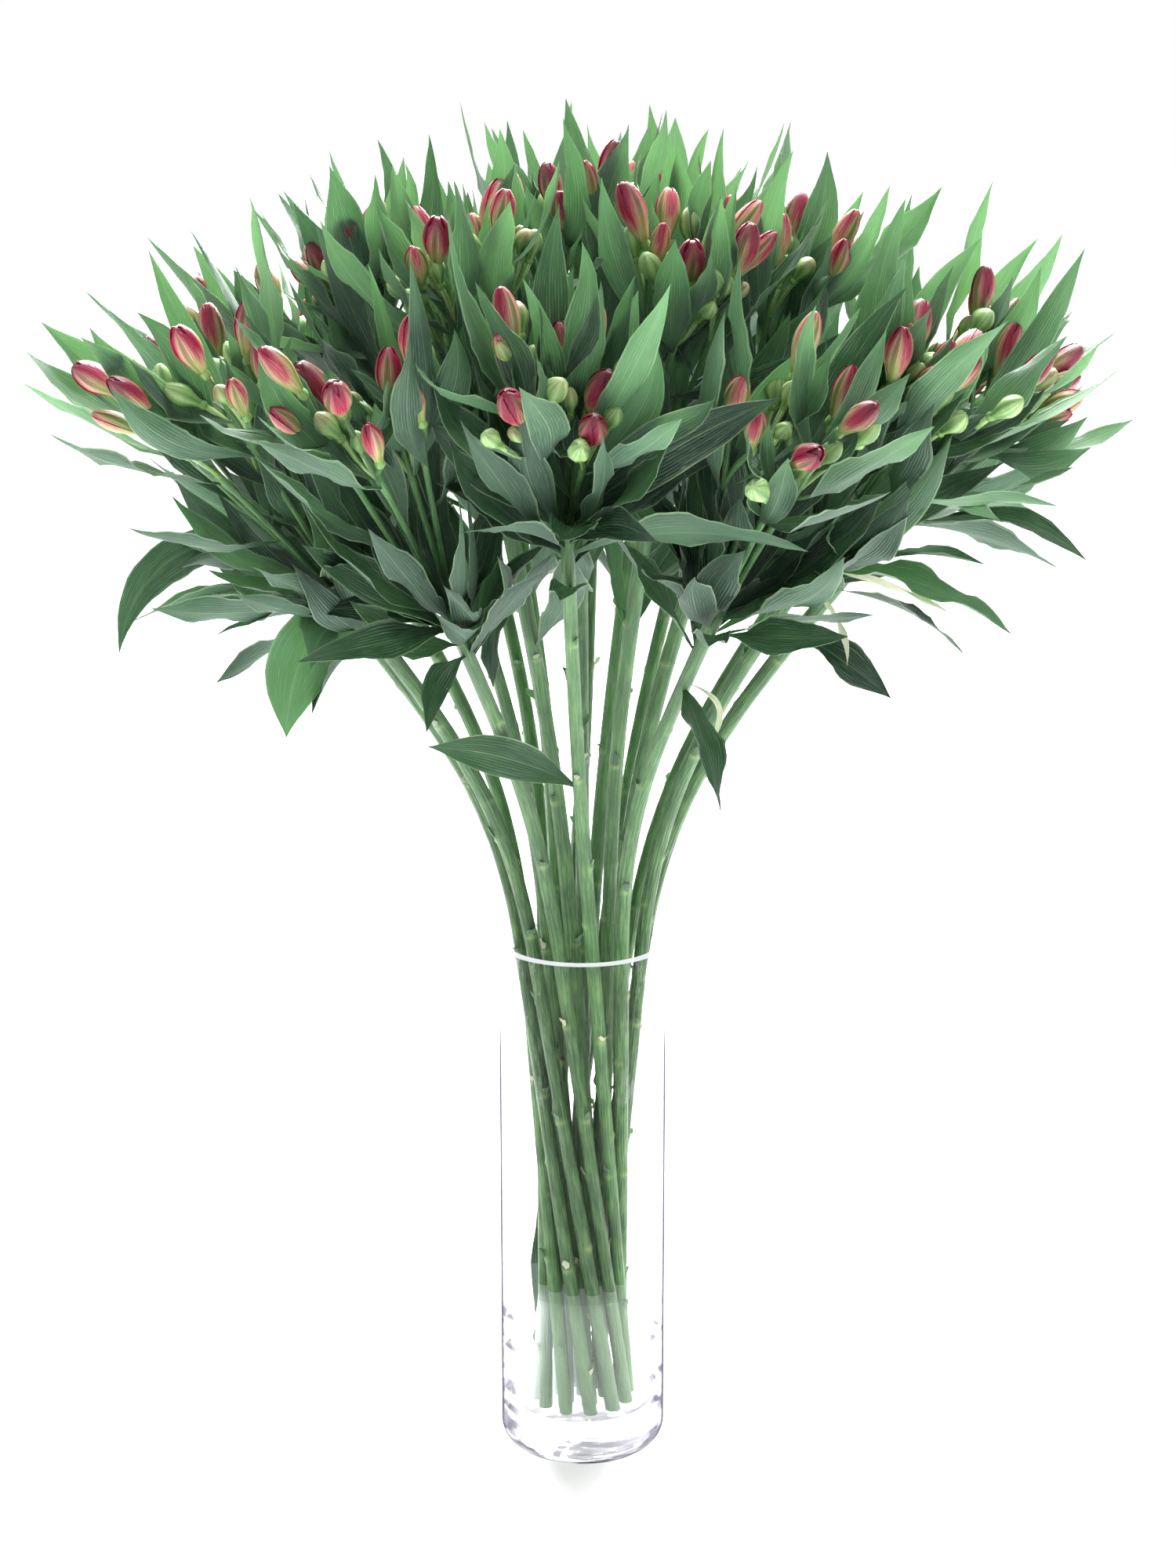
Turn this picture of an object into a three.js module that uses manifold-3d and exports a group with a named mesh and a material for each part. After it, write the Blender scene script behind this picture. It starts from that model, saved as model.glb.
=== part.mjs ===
// A bunch of budded alstroemeria stems that stands in a clear glass cylinder vase with a little water.
// Millimetres and degrees, +Z up, with the origin at the centre of the vase's underside.
import * as THREE from "three";
import { mergeVertices } from "three/addons/utils/BufferGeometryUtils.js";
import Module from "manifold-3d";

const wasm = await Module();
wasm.setup();

// Driving dimensions. A pair in brackets is the range that a seeded draw picks from.
const SEED = 4.7;
const GAP = 0.3; // between pieces that touch on the real thing
const MERGE = 0.02; // edges shorter than this close up when pieces are fused

const VASE = { radius: 50, wall: 6, height: 320, floor: 28, heel: 14, lip: 2, innerHeel: 5, sides: 32 };
const WATER = { level: 104, holeRoom: 0.4 };

// The stems stand in three rings. Inside the vase each ring twists, and above it the heads fan out from FAN.
const FAN = new THREE.Vector3(0, 0, 336);
const CENTRE = { count: 1, foot: 0, rim: 0, twist: 0, drift: 0, lean: 2, flare: 0 };
const MIDDLE = { count: 6, foot: 14, rim: 21, twist: 95, drift: 14, lean: 17, flare: 0 };
const OUTER = { count: 12, foot: 28.5, rim: 37.5, twist: 90, drift: 9, lean: 34, flare: 2.5 };
const RINGS = [
  { ...CENTRE, reach: [300, 320], tip: [436, 456], leaves: 5, forkLeaf: [92, 122] },
  { ...MIDDLE, reach: [276, 330], tip: [424, 450], leaves: 5, forkLeaf: [92, 122] },
  { ...OUTER, reach: [244, 312], tip: [404, 448], leaves: 6, forkLeaf: [114, 144] },
];
const SPREAD = 326; // no leaf ends further than this from the vase's axis
const JITTER = { foot: 1.5, head: 5, lean: 2.5 };
const STEM = { radius: [4.1, 4.7], swell: 1.22, swellLength: 14, sides: 5, bend: 0.4, steps: 3 };

// A head keeps to its own cone from FAN, with walls halfway to its neighbours, eased in over SOFT.
const SOFT = 12;
const LEAF_ROOM = 1.2;
const TIP_ROOM = 8;

const BLADE = { rootPower: 1.3, tipPower: 1.4, thickness: 1.5, fold: 0.22 };
const LONG_BLADE = [0.12, 0.42, 0.74];
const SHORT_BLADE = [0.16, 0.55];
const WHORL_ROOT = { below: [6, 18], seat: 0.62, sink: 0.5 }; // under the head's node, and into the stalk
const WHORL = { length: [102, 134], width: [20, 28], opening: [38, 70], ...WHORL_ROOT };
const RAYS = { count: 5, spread: [3.5, 7], foot: 2.9, sink: 2, root: 1.45, radius: 2, fork: 0.68 };
const FORK_LEAF = { width: [16, 25], opening: [10, 34], below: 6, sink: 0.5 }; // its length is in RINGS
const STRAY_LEAF = { at: [0.78, 0.92], length: [72, 102], width: [15, 23], opening: [46, 92], sink: 3 };
const HANGING_LEAVES = [
  { stem: 16, at: 0.36, turn: -76, length: 98, width: 23, open: [46, 78], twist: [-50, -72], low: true },
  { stem: 5, at: 0.8, turn: 0, length: 80, width: 20, open: [120, 168], twist: [0, 30], low: true },
  { stem: 13, at: 1, turn: 0, length: 196, width: 29, open: [12, 135], twist: [-10, -80] },
  { stem: 14, at: 0.93, turn: 30, length: 66, width: 31, open: [40, 120], twist: [-40, -80] },
];
const LOW_LEAF = { stem: 10, height: 188, turn: 12, length: 122, width: 13, open: [12, 4], sink: 2 };
const TURN = { whorl: 14, ray: 12, firstRay: 30, forkLeaf: 70, stray: 35 }; // round the stalk it grows from
const TWIST = { root: 25, tip: 75 };

// A leaf that opens less than PRESSED.upTo curves up along the head, and past ARCHED.from it arches out.
const PRESSED = { upTo: 30, root: 18, tip: -14 };
const ARCHED = { from: 60, root: -20, tip: 14, sag: 0.2 };

// A bud swells to each share of its radius at each share of its length.
const BIG_BUD = { length: [26, 34], radius: [6, 7.5], outward: 0.22, swell: [[0.48, 1.08], [0.84, 0.8]] };
const SMALL_BUD = { length: [14, 21], radius: [4.3, 5.2], tilt: 24, swell: [[0.34, 1.15], [0.76, 0.85]] };
const SMALL_STALK = { length: [26, 40], sink: 0.5, root: 0.8, radius: 1.4 };
const BUD_ROOM = 1;

const ITEM = { whorl: 0, ray: 10, forkLeaf: 20, stray: 40, stem: 50 }; // where each kind's draws begin

const UP = new THREE.Vector3(0, 0, 1);
const radians = THREE.MathUtils.degToRad;
const mix = THREE.MathUtils.lerp;

const materials = {
  glass: new THREE.MeshStandardMaterial({
    color: 0xe4efec,
    roughness: 0.04,
    metalness: 0,
    transparent: true,
    opacity: 0.25,
  }),
  water: new THREE.MeshStandardMaterial({
    color: 0xdfeee8,
    roughness: 0.03,
    metalness: 0,
    transparent: true,
    opacity: 0.3,
  }),
  green: new THREE.MeshStandardMaterial({ color: 0x4c8446, roughness: 0.5, metalness: 0 }),
};

// A repeatable draw between low and high, from the stem, the item on it and which of its values is drawn.
function draw(stem, item, channel, [low, high]) {
  const wave = Math.sin(stem * 12.9898 + item * 78.233 + channel * 37.719 + SEED) * 43758.5453;
  return low + (high - low) * (wave - Math.floor(wave));
}

const around = (reach) => [-reach, reach];

function polar(radius, azimuth, height) {
  const angle = radians(azimuth);
  return new THREE.Vector3(radius * Math.cos(angle), radius * Math.sin(angle), height);
}

function direction(lean, azimuth) {
  return polar(Math.sin(radians(lean)), azimuth, Math.cos(radians(lean)));
}

// Any closed geometry as a solid that can be joined and cut.
function solidOf(geometry) {
  const plain = geometry.clone();
  plain.deleteAttribute("normal");
  plain.deleteAttribute("uv");
  const merged = mergeVertices(plain);
  return new wasm.Manifold(
    new wasm.Mesh({
      numProp: 3,
      vertProperties: merged.getAttribute("position").array,
      triVerts: Uint32Array.from(merged.index.array),
    }),
  );
}

function meshOf(name, solid, material) {
  const { vertProperties, triVerts } = solid.getMesh();
  const geometry = new THREE.BufferGeometry();
  geometry.setAttribute("position", new THREE.BufferAttribute(vertProperties, 3));
  geometry.setIndex(new THREE.BufferAttribute(triVerts, 1));
  geometry.computeVertexNormals();
  const mesh = new THREE.Mesh(geometry, material);
  mesh.name = name;
  return mesh;
}

// A closed skin over rings of points, each ring anticlockwise about the way it runs.
// It ends in the points start and end, or in flat caps. With alike, both faces of a blade split the same way.
function skin(rings, { start, end, alike = false }) {
  const sides = rings[0].length;
  const points = rings.flat();
  const faces = [];
  for (let ring = 1; ring < rings.length; ring++) {
    const a = (ring - 1) * sides;
    const b = ring * sides;
    for (let j = 0; j < sides; j++) {
      const next = (j + 1) % sides;
      if (alike && j % 2) faces.push(a + j, a + next, b + j, a + next, b + next, b + j);
      else faces.push(a + j, a + next, b + next, a + j, b + next, b + j);
    }
  }
  const last = (rings.length - 1) * sides;
  if (start) points.push(start);
  const startIndex = points.length - 1;
  if (end) points.push(end);
  const endIndex = points.length - 1;
  for (let j = 0; j < sides; j++) {
    const next = (j + 1) % sides;
    if (start) faces.push(startIndex, next, j);
    else if (j > 0 && next > 0) faces.push(0, next, j);
    if (end) faces.push(endIndex, last + j, last + next);
    else if (j > 0 && next > 0) faces.push(last, last + j, last + next);
  }
  const geometry = new THREE.BufferGeometry().setFromPoints(points);
  geometry.setIndex(faces);
  return solidOf(geometry);
}

// A ring of points around centre, square to along, with the middle of a side where reference points.
function ringAt(centre, along, reference, radius, sides) {
  const side = reference.clone().addScaledVector(along, -reference.dot(along)).normalize();
  const other = along.clone().cross(side);
  return Array.from({ length: sides }, (_, j) => {
    const angle = (2 * Math.PI * (j + 0.5)) / sides;
    return centre
      .clone()
      .addScaledVector(side, radius * Math.cos(angle))
      .addScaledVector(other, radius * Math.sin(angle));
  });
}

// Moves a point back inside the head's cone, by less the further it already is from a wall.
function keepIn(point, cell, room) {
  for (let pass = 0; pass < 2; pass++) {
    for (const wall of cell) {
      const out = wall.dot(point.clone().sub(FAN)) + room + SOFT;
      if (out > 0) point.addScaledVector(wall, SOFT * (1 - Math.exp(-out / SOFT)) - out);
    }
  }
  return point;
}

// The widest angle to axis at which a leaf of this length still ends inside the head's cone.
function openingLimit(base, axis, out, length, cell) {
  let limit = Math.PI;
  for (const wall of cell) {
    const across = wall.dot(out);
    const behind = -wall.dot(axis);
    const free = -wall.dot(base.clone().sub(FAN)) - TIP_ROOM;
    const reach = length * Math.hypot(across, behind);
    const room = Math.asin(THREE.MathUtils.clamp(free / reach, -1, 1));
    if (across > 0) limit = Math.min(limit, Math.atan2(behind, across) + room);
  }
  return THREE.MathUtils.radToDeg(Math.max(limit, 0));
}

// Half a leaf's width at s along it, as a share of its widest half.
function bladeShape(s) {
  const { rootPower, tipPower } = BLADE;
  const widest = rootPower / (rootPower + tipPower);
  return (s / widest) ** rootPower * ((1 - s) / (1 - widest)) ** tipPower;
}

// A leaf's midrib leaves the axis at one angle and ends at another, and the tip sags under its own weight.
function midribOf(leaf) {
  const heading = (angle, sag) =>
    leaf.axis
      .clone()
      .multiplyScalar(Math.cos(radians(angle)))
      .addScaledVector(leaf.out, Math.sin(radians(angle)))
      .addScaledVector(UP, -sag)
      .normalize();
  const first = heading(leaf.openRoot, 0);
  const last = heading(leaf.openTip, leaf.droop);
  const middle = first.clone().add(last).normalize();
  const third = leaf.length / 3;
  const near = leaf.base.clone().addScaledVector(first, third);
  const far = near.clone().addScaledVector(middle, third);
  const tip = far.clone().addScaledVector(last, third);
  return new THREE.CubicBezierCurve3(leaf.base.clone(), near, far, tip);
}

// A leaf with its edges raised to a shallow V, diamond-shaped across. With room it is a slot that clears it.
function blade(leaf, cell, stations, room = 0) {
  const curve = midribOf(leaf);
  const across = leaf.axis.clone().cross(leaf.out).normalize();
  const rings = stations.map((s) => {
    const along = curve.getTangent(s);
    const flat = across.clone().addScaledVector(along, -across.dot(along)).normalize();
    const turn = radians(mix(leaf.twist[0], leaf.twist[1], s));
    const side = flat.clone().applyAxisAngle(along, turn);
    const face = along.clone().cross(side);
    const half = (leaf.width / 2) * bladeShape(s) + room;
    const halfThickness = BLADE.thickness / 2 + room;
    const centre = curve.getPoint(s);
    const edge = (sign) =>
      centre
        .clone()
        .addScaledVector(side, sign * half)
        .addScaledVector(face, half * BLADE.fold);
    const right = keepIn(edge(1), cell, LEAF_ROOM);
    const left = keepIn(edge(-1), cell, LEAF_ROOM);
    keepIn(centre, cell, LEAF_ROOM);
    const upper = centre.clone().addScaledVector(face, halfThickness);
    const lower = centre.clone().addScaledVector(face, -halfThickness);
    return [right, upper, left, lower];
  });
  const start = leaf.base.clone().addScaledVector(curve.getTangent(0), -leaf.sink);
  const end = keepIn(curve.getPoint(1), cell, LEAF_ROOM).addScaledVector(curve.getTangent(1), 5 * room);
  return skin(rings, { start, end, alike: true });
}

// The share of its length at which a leaf that sets off at this opening still ends within the bunch's spread.
function spreadShare(base, axis, out, opening, length) {
  const tip = base.clone().addScaledVector(axis, length * Math.cos(radians(opening)));
  tip.addScaledVector(out, length * Math.sin(radians(opening)));
  const from = Math.hypot(base.x, base.y);
  const to = Math.hypot(tip.x, tip.y);
  return to > SPREAD ? (SPREAD - from) / (to - from) : 1;
}

// A leaf of a kind at base: pressed leaves curve up along the head, and free ones arch out and down.
function leafOf(kind, stem, item, base, axis, out) {
  const full = draw(stem.id, item, 1, kind.length);
  const limit = openingLimit(base, axis, out, full, stem.cell);
  const opening = Math.min(draw(stem.id, item, 2, kind.opening), limit);
  const free = THREE.MathUtils.smoothstep(opening, PRESSED.upTo, ARCHED.from);
  return {
    base,
    axis,
    out,
    length: full * spreadShare(base, axis, out, opening, full),
    width: draw(stem.id, item, 3, kind.width),
    openRoot: opening + mix(PRESSED.root, ARCHED.root, free),
    openTip: opening + mix(PRESSED.tip, ARCHED.tip, free),
    droop: ARCHED.sag * free,
    twist: [draw(stem.id, item, 4, around(TWIST.root)), draw(stem.id, item, 5, around(TWIST.tip))],
    sink: kind.sink,
  };
}

// Where each stem stands, how it runs and the cone that its head keeps to.
function layStems() {
  const stems = [];
  for (const ring of RINGS) {
    for (let k = 0; k < ring.count; k++) {
      const id = stems.length;
      const turn = (360 * k) / ring.count;
      const headTurn = turn + draw(id, ITEM.stem, 1, around(JITTER.head));
      const rimTurn = turn + ring.drift + draw(id, ITEM.stem, 2, around(JITTER.foot));
      const footTurn = rimTurn + ring.twist + draw(id, ITEM.stem, 3, around(JITTER.foot));
      const flare = ring.flare * Math.cos(radians(2 * headTurn));
      const lean = ring.lean + flare + draw(id, ITEM.stem, 4, around(JITTER.lean));
      const axis = direction(lean, headTurn);
      const node = FAN.clone().addScaledVector(axis, draw(id, ITEM.stem, 5, ring.reach));
      const foot = polar(ring.foot, footTurn, VASE.floor + GAP);
      const rim = polar(ring.rim, rimTurn, VASE.height);
      const straight = rim.clone().sub(foot).normalize();
      const pull = STEM.bend * node.distanceTo(rim);
      const upper = new THREE.CubicBezierCurve3(
        rim,
        rim.clone().addScaledVector(straight, pull),
        node.clone().addScaledVector(axis, -pull),
        node,
      );
      const radius = draw(id, ITEM.stem, 6, STEM.radius);
      const outward = direction(90, headTurn);
      const front = outward.addScaledVector(axis, -outward.dot(axis)).normalize();
      stems.push({ id, ring, axis, node, foot, rim, straight, upper, radius, front });
    }
  }
  for (const stem of stems) {
    const others = stems.filter((other) => other !== stem);
    stem.cell = others.map((other) => other.axis.clone().sub(stem.axis).normalize());
  }
  return stems;
}

// The way straight out of the head's axis at this turn.
function spoke(stem, turn) {
  return stem.front.clone().applyAxisAngle(stem.axis, radians(turn));
}

function stalk(stem) {
  const { upper, straight, radius, node, axis } = stem;
  const rings = [ringAt(stem.foot, UP, stem.front, radius, STEM.sides)];
  rings.push(ringAt(stem.rim, straight, stem.front, radius, STEM.sides));
  for (let step = 1; step < STEM.steps; step++) {
    const t = step / STEM.steps;
    rings.push(ringAt(upper.getPoint(t), upper.getTangent(t), stem.front, radius, STEM.sides));
  }
  const below = node.clone().addScaledVector(axis, -STEM.swellLength);
  rings.push(ringAt(below, axis, stem.front, radius, STEM.sides));
  rings.push(ringAt(node, axis, stem.front, radius * STEM.swell, STEM.sides));
  return skin(rings, {});
}

function whorl(stem) {
  const count = stem.ring.leaves;
  return Array.from({ length: count }, (_, k) => {
    const item = ITEM.whorl + k;
    const turn = (360 * k) / count + draw(stem.id, item, 6, around(TURN.whorl));
    const out = spoke(stem, turn);
    const base = stem.node.clone().addScaledVector(stem.axis, -draw(stem.id, item, 7, WHORL.below));
    base.addScaledVector(out, stem.radius * WHORL.seat);
    return blade(leafOf(WHORL, stem, item, base, stem.axis, out), stem.cell, LONG_BLADE);
  });
}

// Where a flower stalk runs, from the head's node through its fork to the neck of its large bud.
function layRay(stem, k) {
  const item = ITEM.ray + k;
  const turn = (360 * k) / RAYS.count + draw(stem.id, item, 1, around(TURN.ray)) + TURN.firstRay;
  const out = spoke(stem, turn);
  const spread = radians(draw(stem.id, item, 2, RAYS.spread));
  const towards = stem.axis.clone().multiplyScalar(Math.cos(spread));
  towards.addScaledVector(out, Math.sin(spread));
  const radius = draw(stem.id, item, 3, BIG_BUD.radius);
  const length = draw(stem.id, item, 4, BIG_BUD.length);
  const top = FAN.clone().addScaledVector(towards, draw(stem.id, item, 5, stem.ring.tip));
  keepIn(top, stem.cell, radius + BUD_ROOM);
  const root = stem.node.clone().addScaledVector(out, RAYS.foot);
  const along = top.clone().sub(root).normalize();
  const budAxis = along.clone().addScaledVector(out, BIG_BUD.outward).normalize();
  const neck = top.clone().addScaledVector(budAxis, -length);
  const fork = root.clone().lerp(neck, RAYS.fork);
  const leafTurn = radians(draw(stem.id, item, 10, around(TURN.forkLeaf)));
  const leafOut = out.clone().applyAxisAngle(along, leafTurn);
  const hand = draw(stem.id, item, 6, around(1)) > 0 ? 1 : -1;
  const beside = along.clone().cross(leafOut).multiplyScalar(hand).normalize();
  return { item, root, along, fork, neck, budAxis, radius, length, leafOut, beside };
}

// A thin stalk from root, along one way, to a neck where it swells into a bud that points along its own axis.
function stalkAndBud(cell, sides, from, neck, bud) {
  const budRing = ([s, share]) => {
    const centre = neck.point.clone().addScaledVector(bud.axis, s * bud.length);
    const radius = share * bud.radius;
    return ringAt(keepIn(centre, cell, radius + BUD_ROOM), bud.axis, from.facing, radius, sides);
  };
  const end = neck.point.clone().addScaledVector(bud.axis, bud.length);
  const rings = [
    ringAt(from.point, from.along, from.facing, from.radius, sides),
    ringAt(neck.point, from.along, from.facing, neck.radius, sides),
    ...bud.swell.map(budRing),
  ];
  return skin(rings, { end: keepIn(end, cell, BUD_ROOM) });
}

// A flower stalk with its large bud, and the small bud and the leaf that grow where it forks.
function ray(stem, k) {
  const { item, root, along, fork, neck, budAxis, radius, length, leafOut, beside } = layRay(stem, k);
  const start = root.clone().addScaledVector(along, -RAYS.sink);
  const big = stalkAndBud(
    stem.cell,
    4,
    { point: start, along, facing: leafOut, radius: RAYS.root },
    { point: neck, radius: RAYS.radius },
    { axis: budAxis, length, radius, swell: BIG_BUD.swell },
  );

  const tilt = radians(SMALL_BUD.tilt);
  const smallAxis = along.clone().multiplyScalar(Math.cos(tilt));
  smallAxis.addScaledVector(beside, Math.sin(tilt));
  const smallStart = fork.clone().addScaledVector(smallAxis, -SMALL_STALK.sink);
  const smallNeck = fork.clone().addScaledVector(smallAxis, draw(stem.id, item, 7, SMALL_STALK.length));
  const smallLength = draw(stem.id, item, 8, SMALL_BUD.length);
  const smallRadius = draw(stem.id, item, 9, SMALL_BUD.radius);
  const small = stalkAndBud(
    stem.cell,
    3,
    { point: smallStart, along: smallAxis, facing: beside, radius: SMALL_STALK.root },
    { point: smallNeck, radius: SMALL_STALK.radius },
    { axis: smallAxis, length: smallLength, radius: smallRadius, swell: SMALL_BUD.swell },
  );

  const leafBase = fork.clone().addScaledVector(along, -FORK_LEAF.below);
  const kind = { ...FORK_LEAF, length: stem.ring.forkLeaf };
  const leaf = leafOf(kind, stem, ITEM.forkLeaf + k, leafBase, along, leafOut);
  return [big, small, blade(leaf, stem.cell, SHORT_BLADE)];
}

// One leaf below the head of each outer stem, facing out of the bunch.
function strayLeaves(stem) {
  if (stem.ring.count !== OUTER.count) return [];
  const t = draw(stem.id, ITEM.stray, 6, STRAY_LEAF.at);
  const axis = stem.upper.getTangent(t);
  const turn = radians(draw(stem.id, ITEM.stray, 7, around(TURN.stray)));
  const out = stem.front.clone().applyAxisAngle(axis, turn);
  out.addScaledVector(axis, -out.dot(axis)).normalize();
  const leaf = leafOf(STRAY_LEAF, stem, ITEM.stray, stem.upper.getPoint(t), axis, out);
  return [blade(leaf, stem.cell, LONG_BLADE)];
}

// A leaf that hangs from its stalk at a chosen place. A low one hangs under the heads, and keeps to no cone.
function hangingLeaf(stem, leaf) {
  const axis = stem.upper.getTangent(leaf.at);
  const out = stem.front.clone().applyAxisAngle(axis, radians(leaf.turn));
  out.addScaledVector(axis, -out.dot(axis)).normalize();
  const base = stem.upper.getPoint(leaf.at);
  const [openRoot, openTip] = leaf.open;
  const placed = { ...leaf, base, axis, out, openRoot, openTip, droop: 0, sink: STRAY_LEAF.sink };
  return blade(placed, leaf.low ? [] : stem.cell, LONG_BLADE);
}

// The leaf that one stem still has inside the vase, hanging down its wall into the water.
function lowLeaf(stems) {
  const { foot, rim } = stems[LOW_LEAF.stem];
  const base = foot.clone().lerp(rim, (LOW_LEAF.height - foot.z) / (rim.z - foot.z));
  const out = new THREE.Vector3(base.x, base.y, 0).normalize().applyAxisAngle(UP, radians(LOW_LEAF.turn));
  const [openRoot, openTip] = LOW_LEAF.open;
  const axis = UP.clone().negate();
  return { ...LOW_LEAF, base, axis, out, openRoot, openTip, droop: 0, twist: [28, 36] };
}

function leafyStem(stem) {
  const rays = Array.from({ length: RAYS.count }, (_, k) => ray(stem, k)).flat();
  const hanging = HANGING_LEAVES.filter((leaf) => leaf.stem === stem.id);
  const pieces = [stalk(stem), ...whorl(stem), ...rays, ...strayLeaves(stem)];
  pieces.push(...hanging.map((leaf) => hangingLeaf(stem, leaf)));
  if (stem.id === LOW_LEAF.stem) pieces.push(blade(lowLeaf(stems), [], LONG_BLADE));
  return wasm.Manifold.union(pieces).simplify(MERGE);
}

// The vase is turned round its axis: outside up to the lip, then down the inside to the floor.
function vase() {
  const { radius, wall, height, floor, heel, lip, innerHeel, sides } = VASE;
  const inner = radius - wall;
  const profile = [
    [0, 0],
    [radius - heel, 0],
    [radius - heel * 0.28, heel * 0.32],
    [radius, heel],
    [radius, height - lip],
    [radius - lip * 0.7, height],
    [inner + lip * 0.7, height],
    [inner, height - lip],
    [inner, floor + innerHeel],
    [inner - innerHeel, floor],
    [0, floor],
  ];
  return turned(profile, sides);
}

function turned(profile, sides) {
  const lathe = new THREE.LatheGeometry(
    profile.map(([x, y]) => new THREE.Vector2(x, y)),
    sides,
  );
  return solidOf(lathe.rotateX(Math.PI / 2));
}

// The pool fills the vase to its level, with a plain hole for each stalk and for the low leaf's tip.
function water(stems) {
  const { wall, floor, innerHeel, sides } = VASE;
  const inner = VASE.radius - wall - GAP;
  const pool = turned(
    [
      [0, floor + GAP],
      [inner - innerHeel, floor + GAP],
      [inner, floor + GAP + innerHeel],
      [inner, WATER.level],
      [0, WATER.level],
    ],
    sides,
  );
  const holes = stems.map((stem) => {
    const room = stem.radius + WATER.holeRoom;
    const low = stem.foot.clone().addScaledVector(stem.straight, -GAP - 1);
    const high = stem.foot.clone().addScaledVector(stem.straight, WATER.level);
    return skin(
      [low, high].map((point) => ringAt(point, stem.straight, stem.front, room, STEM.sides)),
      {},
    );
  });
  holes.push(blade(lowLeaf(stems), [], LONG_BLADE, LEAF_ROOM));
  return pool.subtract(wasm.Manifold.union(holes));
}

const stems = layStems();
const bunch = new THREE.Group();
bunch.add(meshOf("vase", vase(), materials.glass));
bunch.add(meshOf("water", water(stems), materials.water));
for (const stem of stems) {
  const name = `stem_${String(stem.id + 1).padStart(2, "0")}`;
  bunch.add(meshOf(name, leafyStem(stem), materials.green));
}

export default bunch;
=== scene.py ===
# A bunch of budded alstroemeria stems standing in a clear glass cylinder vase with a little water.
# Shapes are worked out in millimetres, +Z up, and go into the meshes in metres.
import bpy
import math
import numpy as np
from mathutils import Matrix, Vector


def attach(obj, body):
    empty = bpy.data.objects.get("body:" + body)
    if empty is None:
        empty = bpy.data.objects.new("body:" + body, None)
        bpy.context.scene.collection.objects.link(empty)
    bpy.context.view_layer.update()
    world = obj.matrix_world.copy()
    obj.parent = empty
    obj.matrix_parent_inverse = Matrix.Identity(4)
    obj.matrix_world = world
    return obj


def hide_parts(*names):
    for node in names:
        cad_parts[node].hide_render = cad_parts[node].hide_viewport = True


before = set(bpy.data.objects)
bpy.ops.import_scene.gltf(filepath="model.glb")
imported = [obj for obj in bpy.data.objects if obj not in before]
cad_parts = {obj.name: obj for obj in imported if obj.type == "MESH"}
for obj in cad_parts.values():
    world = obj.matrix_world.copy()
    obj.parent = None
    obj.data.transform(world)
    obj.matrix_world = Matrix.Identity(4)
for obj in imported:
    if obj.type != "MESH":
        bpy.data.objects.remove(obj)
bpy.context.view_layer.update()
metresPerMm = 0.001
print("stage: frame loaded")

# The stems stand in three rings in the vase, and their heads fan out above it from one point.
plan = {
    "seed": 4.7, "item": 50,
    "footHeight": 28.3, "rimHeight": 320.0, "fanHeight": 336.0,
    "headJitter": 5.0, "footJitter": 1.5, "leanJitter": 2.5,
    "bend": 0.4, "radius": (4.1, 4.7), "soften": 12.0, "passes": 2, "spread": 326,
    "rings": [
        {"count": 1, "foot": 0, "rim": 0, "twist": 0, "drift": 0, "lean": 2, "flare": 0,
         "reach": (300, 320), "tip": (436, 456), "leaves": 5, "forkLeaf": (92, 122)},
        {"count": 6, "foot": 14, "rim": 21, "twist": 95, "drift": 14, "lean": 17, "flare": 0,
         "reach": (276, 330), "tip": (424, 450), "leaves": 5, "forkLeaf": (92, 122)},
        {"count": 12, "foot": 28.5, "rim": 37.5, "twist": 90, "drift": 9, "lean": 34, "flare": 2.5,
         "reach": (244, 312), "tip": (404, 448), "leaves": 6, "forkLeaf": (114, 144)},
    ],
}
fan = np.array([0.0, 0.0, plan["fanHeight"]])
up = np.array([0.0, 0.0, 1.0])
anyTurn = (0, 360)
anyPhase = (0, 6.28)


def mix(a, b, share):
    # From a at no share to b at a full one, in proportion.
    return a + (b - a) * share


def draw(stem, item, channel, span):
    # The fraction left of a tall sine wave of stem, item and channel, laid between the span's two ends.
    wave = math.sin(stem * 12.9898 + item * 78.233 + channel * 37.719 + plan["seed"]) * 43758.5453
    return mix(*span, wave - math.floor(wave))


def around(reach):
    # The span that reaches as far below nought as above it.
    return (-reach, reach)


def smooth(share):
    # Three times the square less twice the cube of a share held between 0 and 1.
    share = np.clip(share, 0, 1)
    return share * share * (3 - 2 * share)


def unit(v):
    # A vector, or each row of vectors, over its own length.
    return v / np.maximum(np.linalg.norm(v, axis=-1, keepdims=True), 1e-9)


def dot(a, b):
    # The sum of the products of the vectors' parts.
    return np.sum(a * b, axis=-1, keepdims=True)


def square(v, axis):
    # The vector without its own part along the axis, at length 1.
    return unit(v - axis * dot(v, axis))


def polar(radius, azimuth, height):
    # Cosine and sine of the azimuth times the radius, at the height.
    angle = math.radians(azimuth)
    return np.array([radius * math.cos(angle), radius * math.sin(angle), height])


def heading(lean, azimuth):
    # The unit direction that leans from straight up by the first angle, towards the second.
    angle = math.radians(lean)
    return polar(math.sin(angle), azimuth, math.cos(angle))


def turned(v, axis, degrees):
    # The vector's cosine part, plus axis cross vector times sine, plus its own part along the axis.
    angle = np.radians(degrees)
    return v * np.cos(angle) + np.cross(axis, v) * np.sin(angle) + axis * dot(axis, v) * (1 - np.cos(angle))


def leaning(axis, out, degrees):
    # The axis times the cosine plus the outward way times the sine.
    angle = math.radians(degrees)
    return axis * math.cos(angle) + out * math.sin(angle)


def strayFrom(v, axis, number, item, channel, most):
    # The vector turned about the axis by any angle, times a draw up to the most.
    return turned(v, axis, draw(number, item, channel, anyTurn)) * draw(number, item, channel + 1, (0, most))


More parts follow.
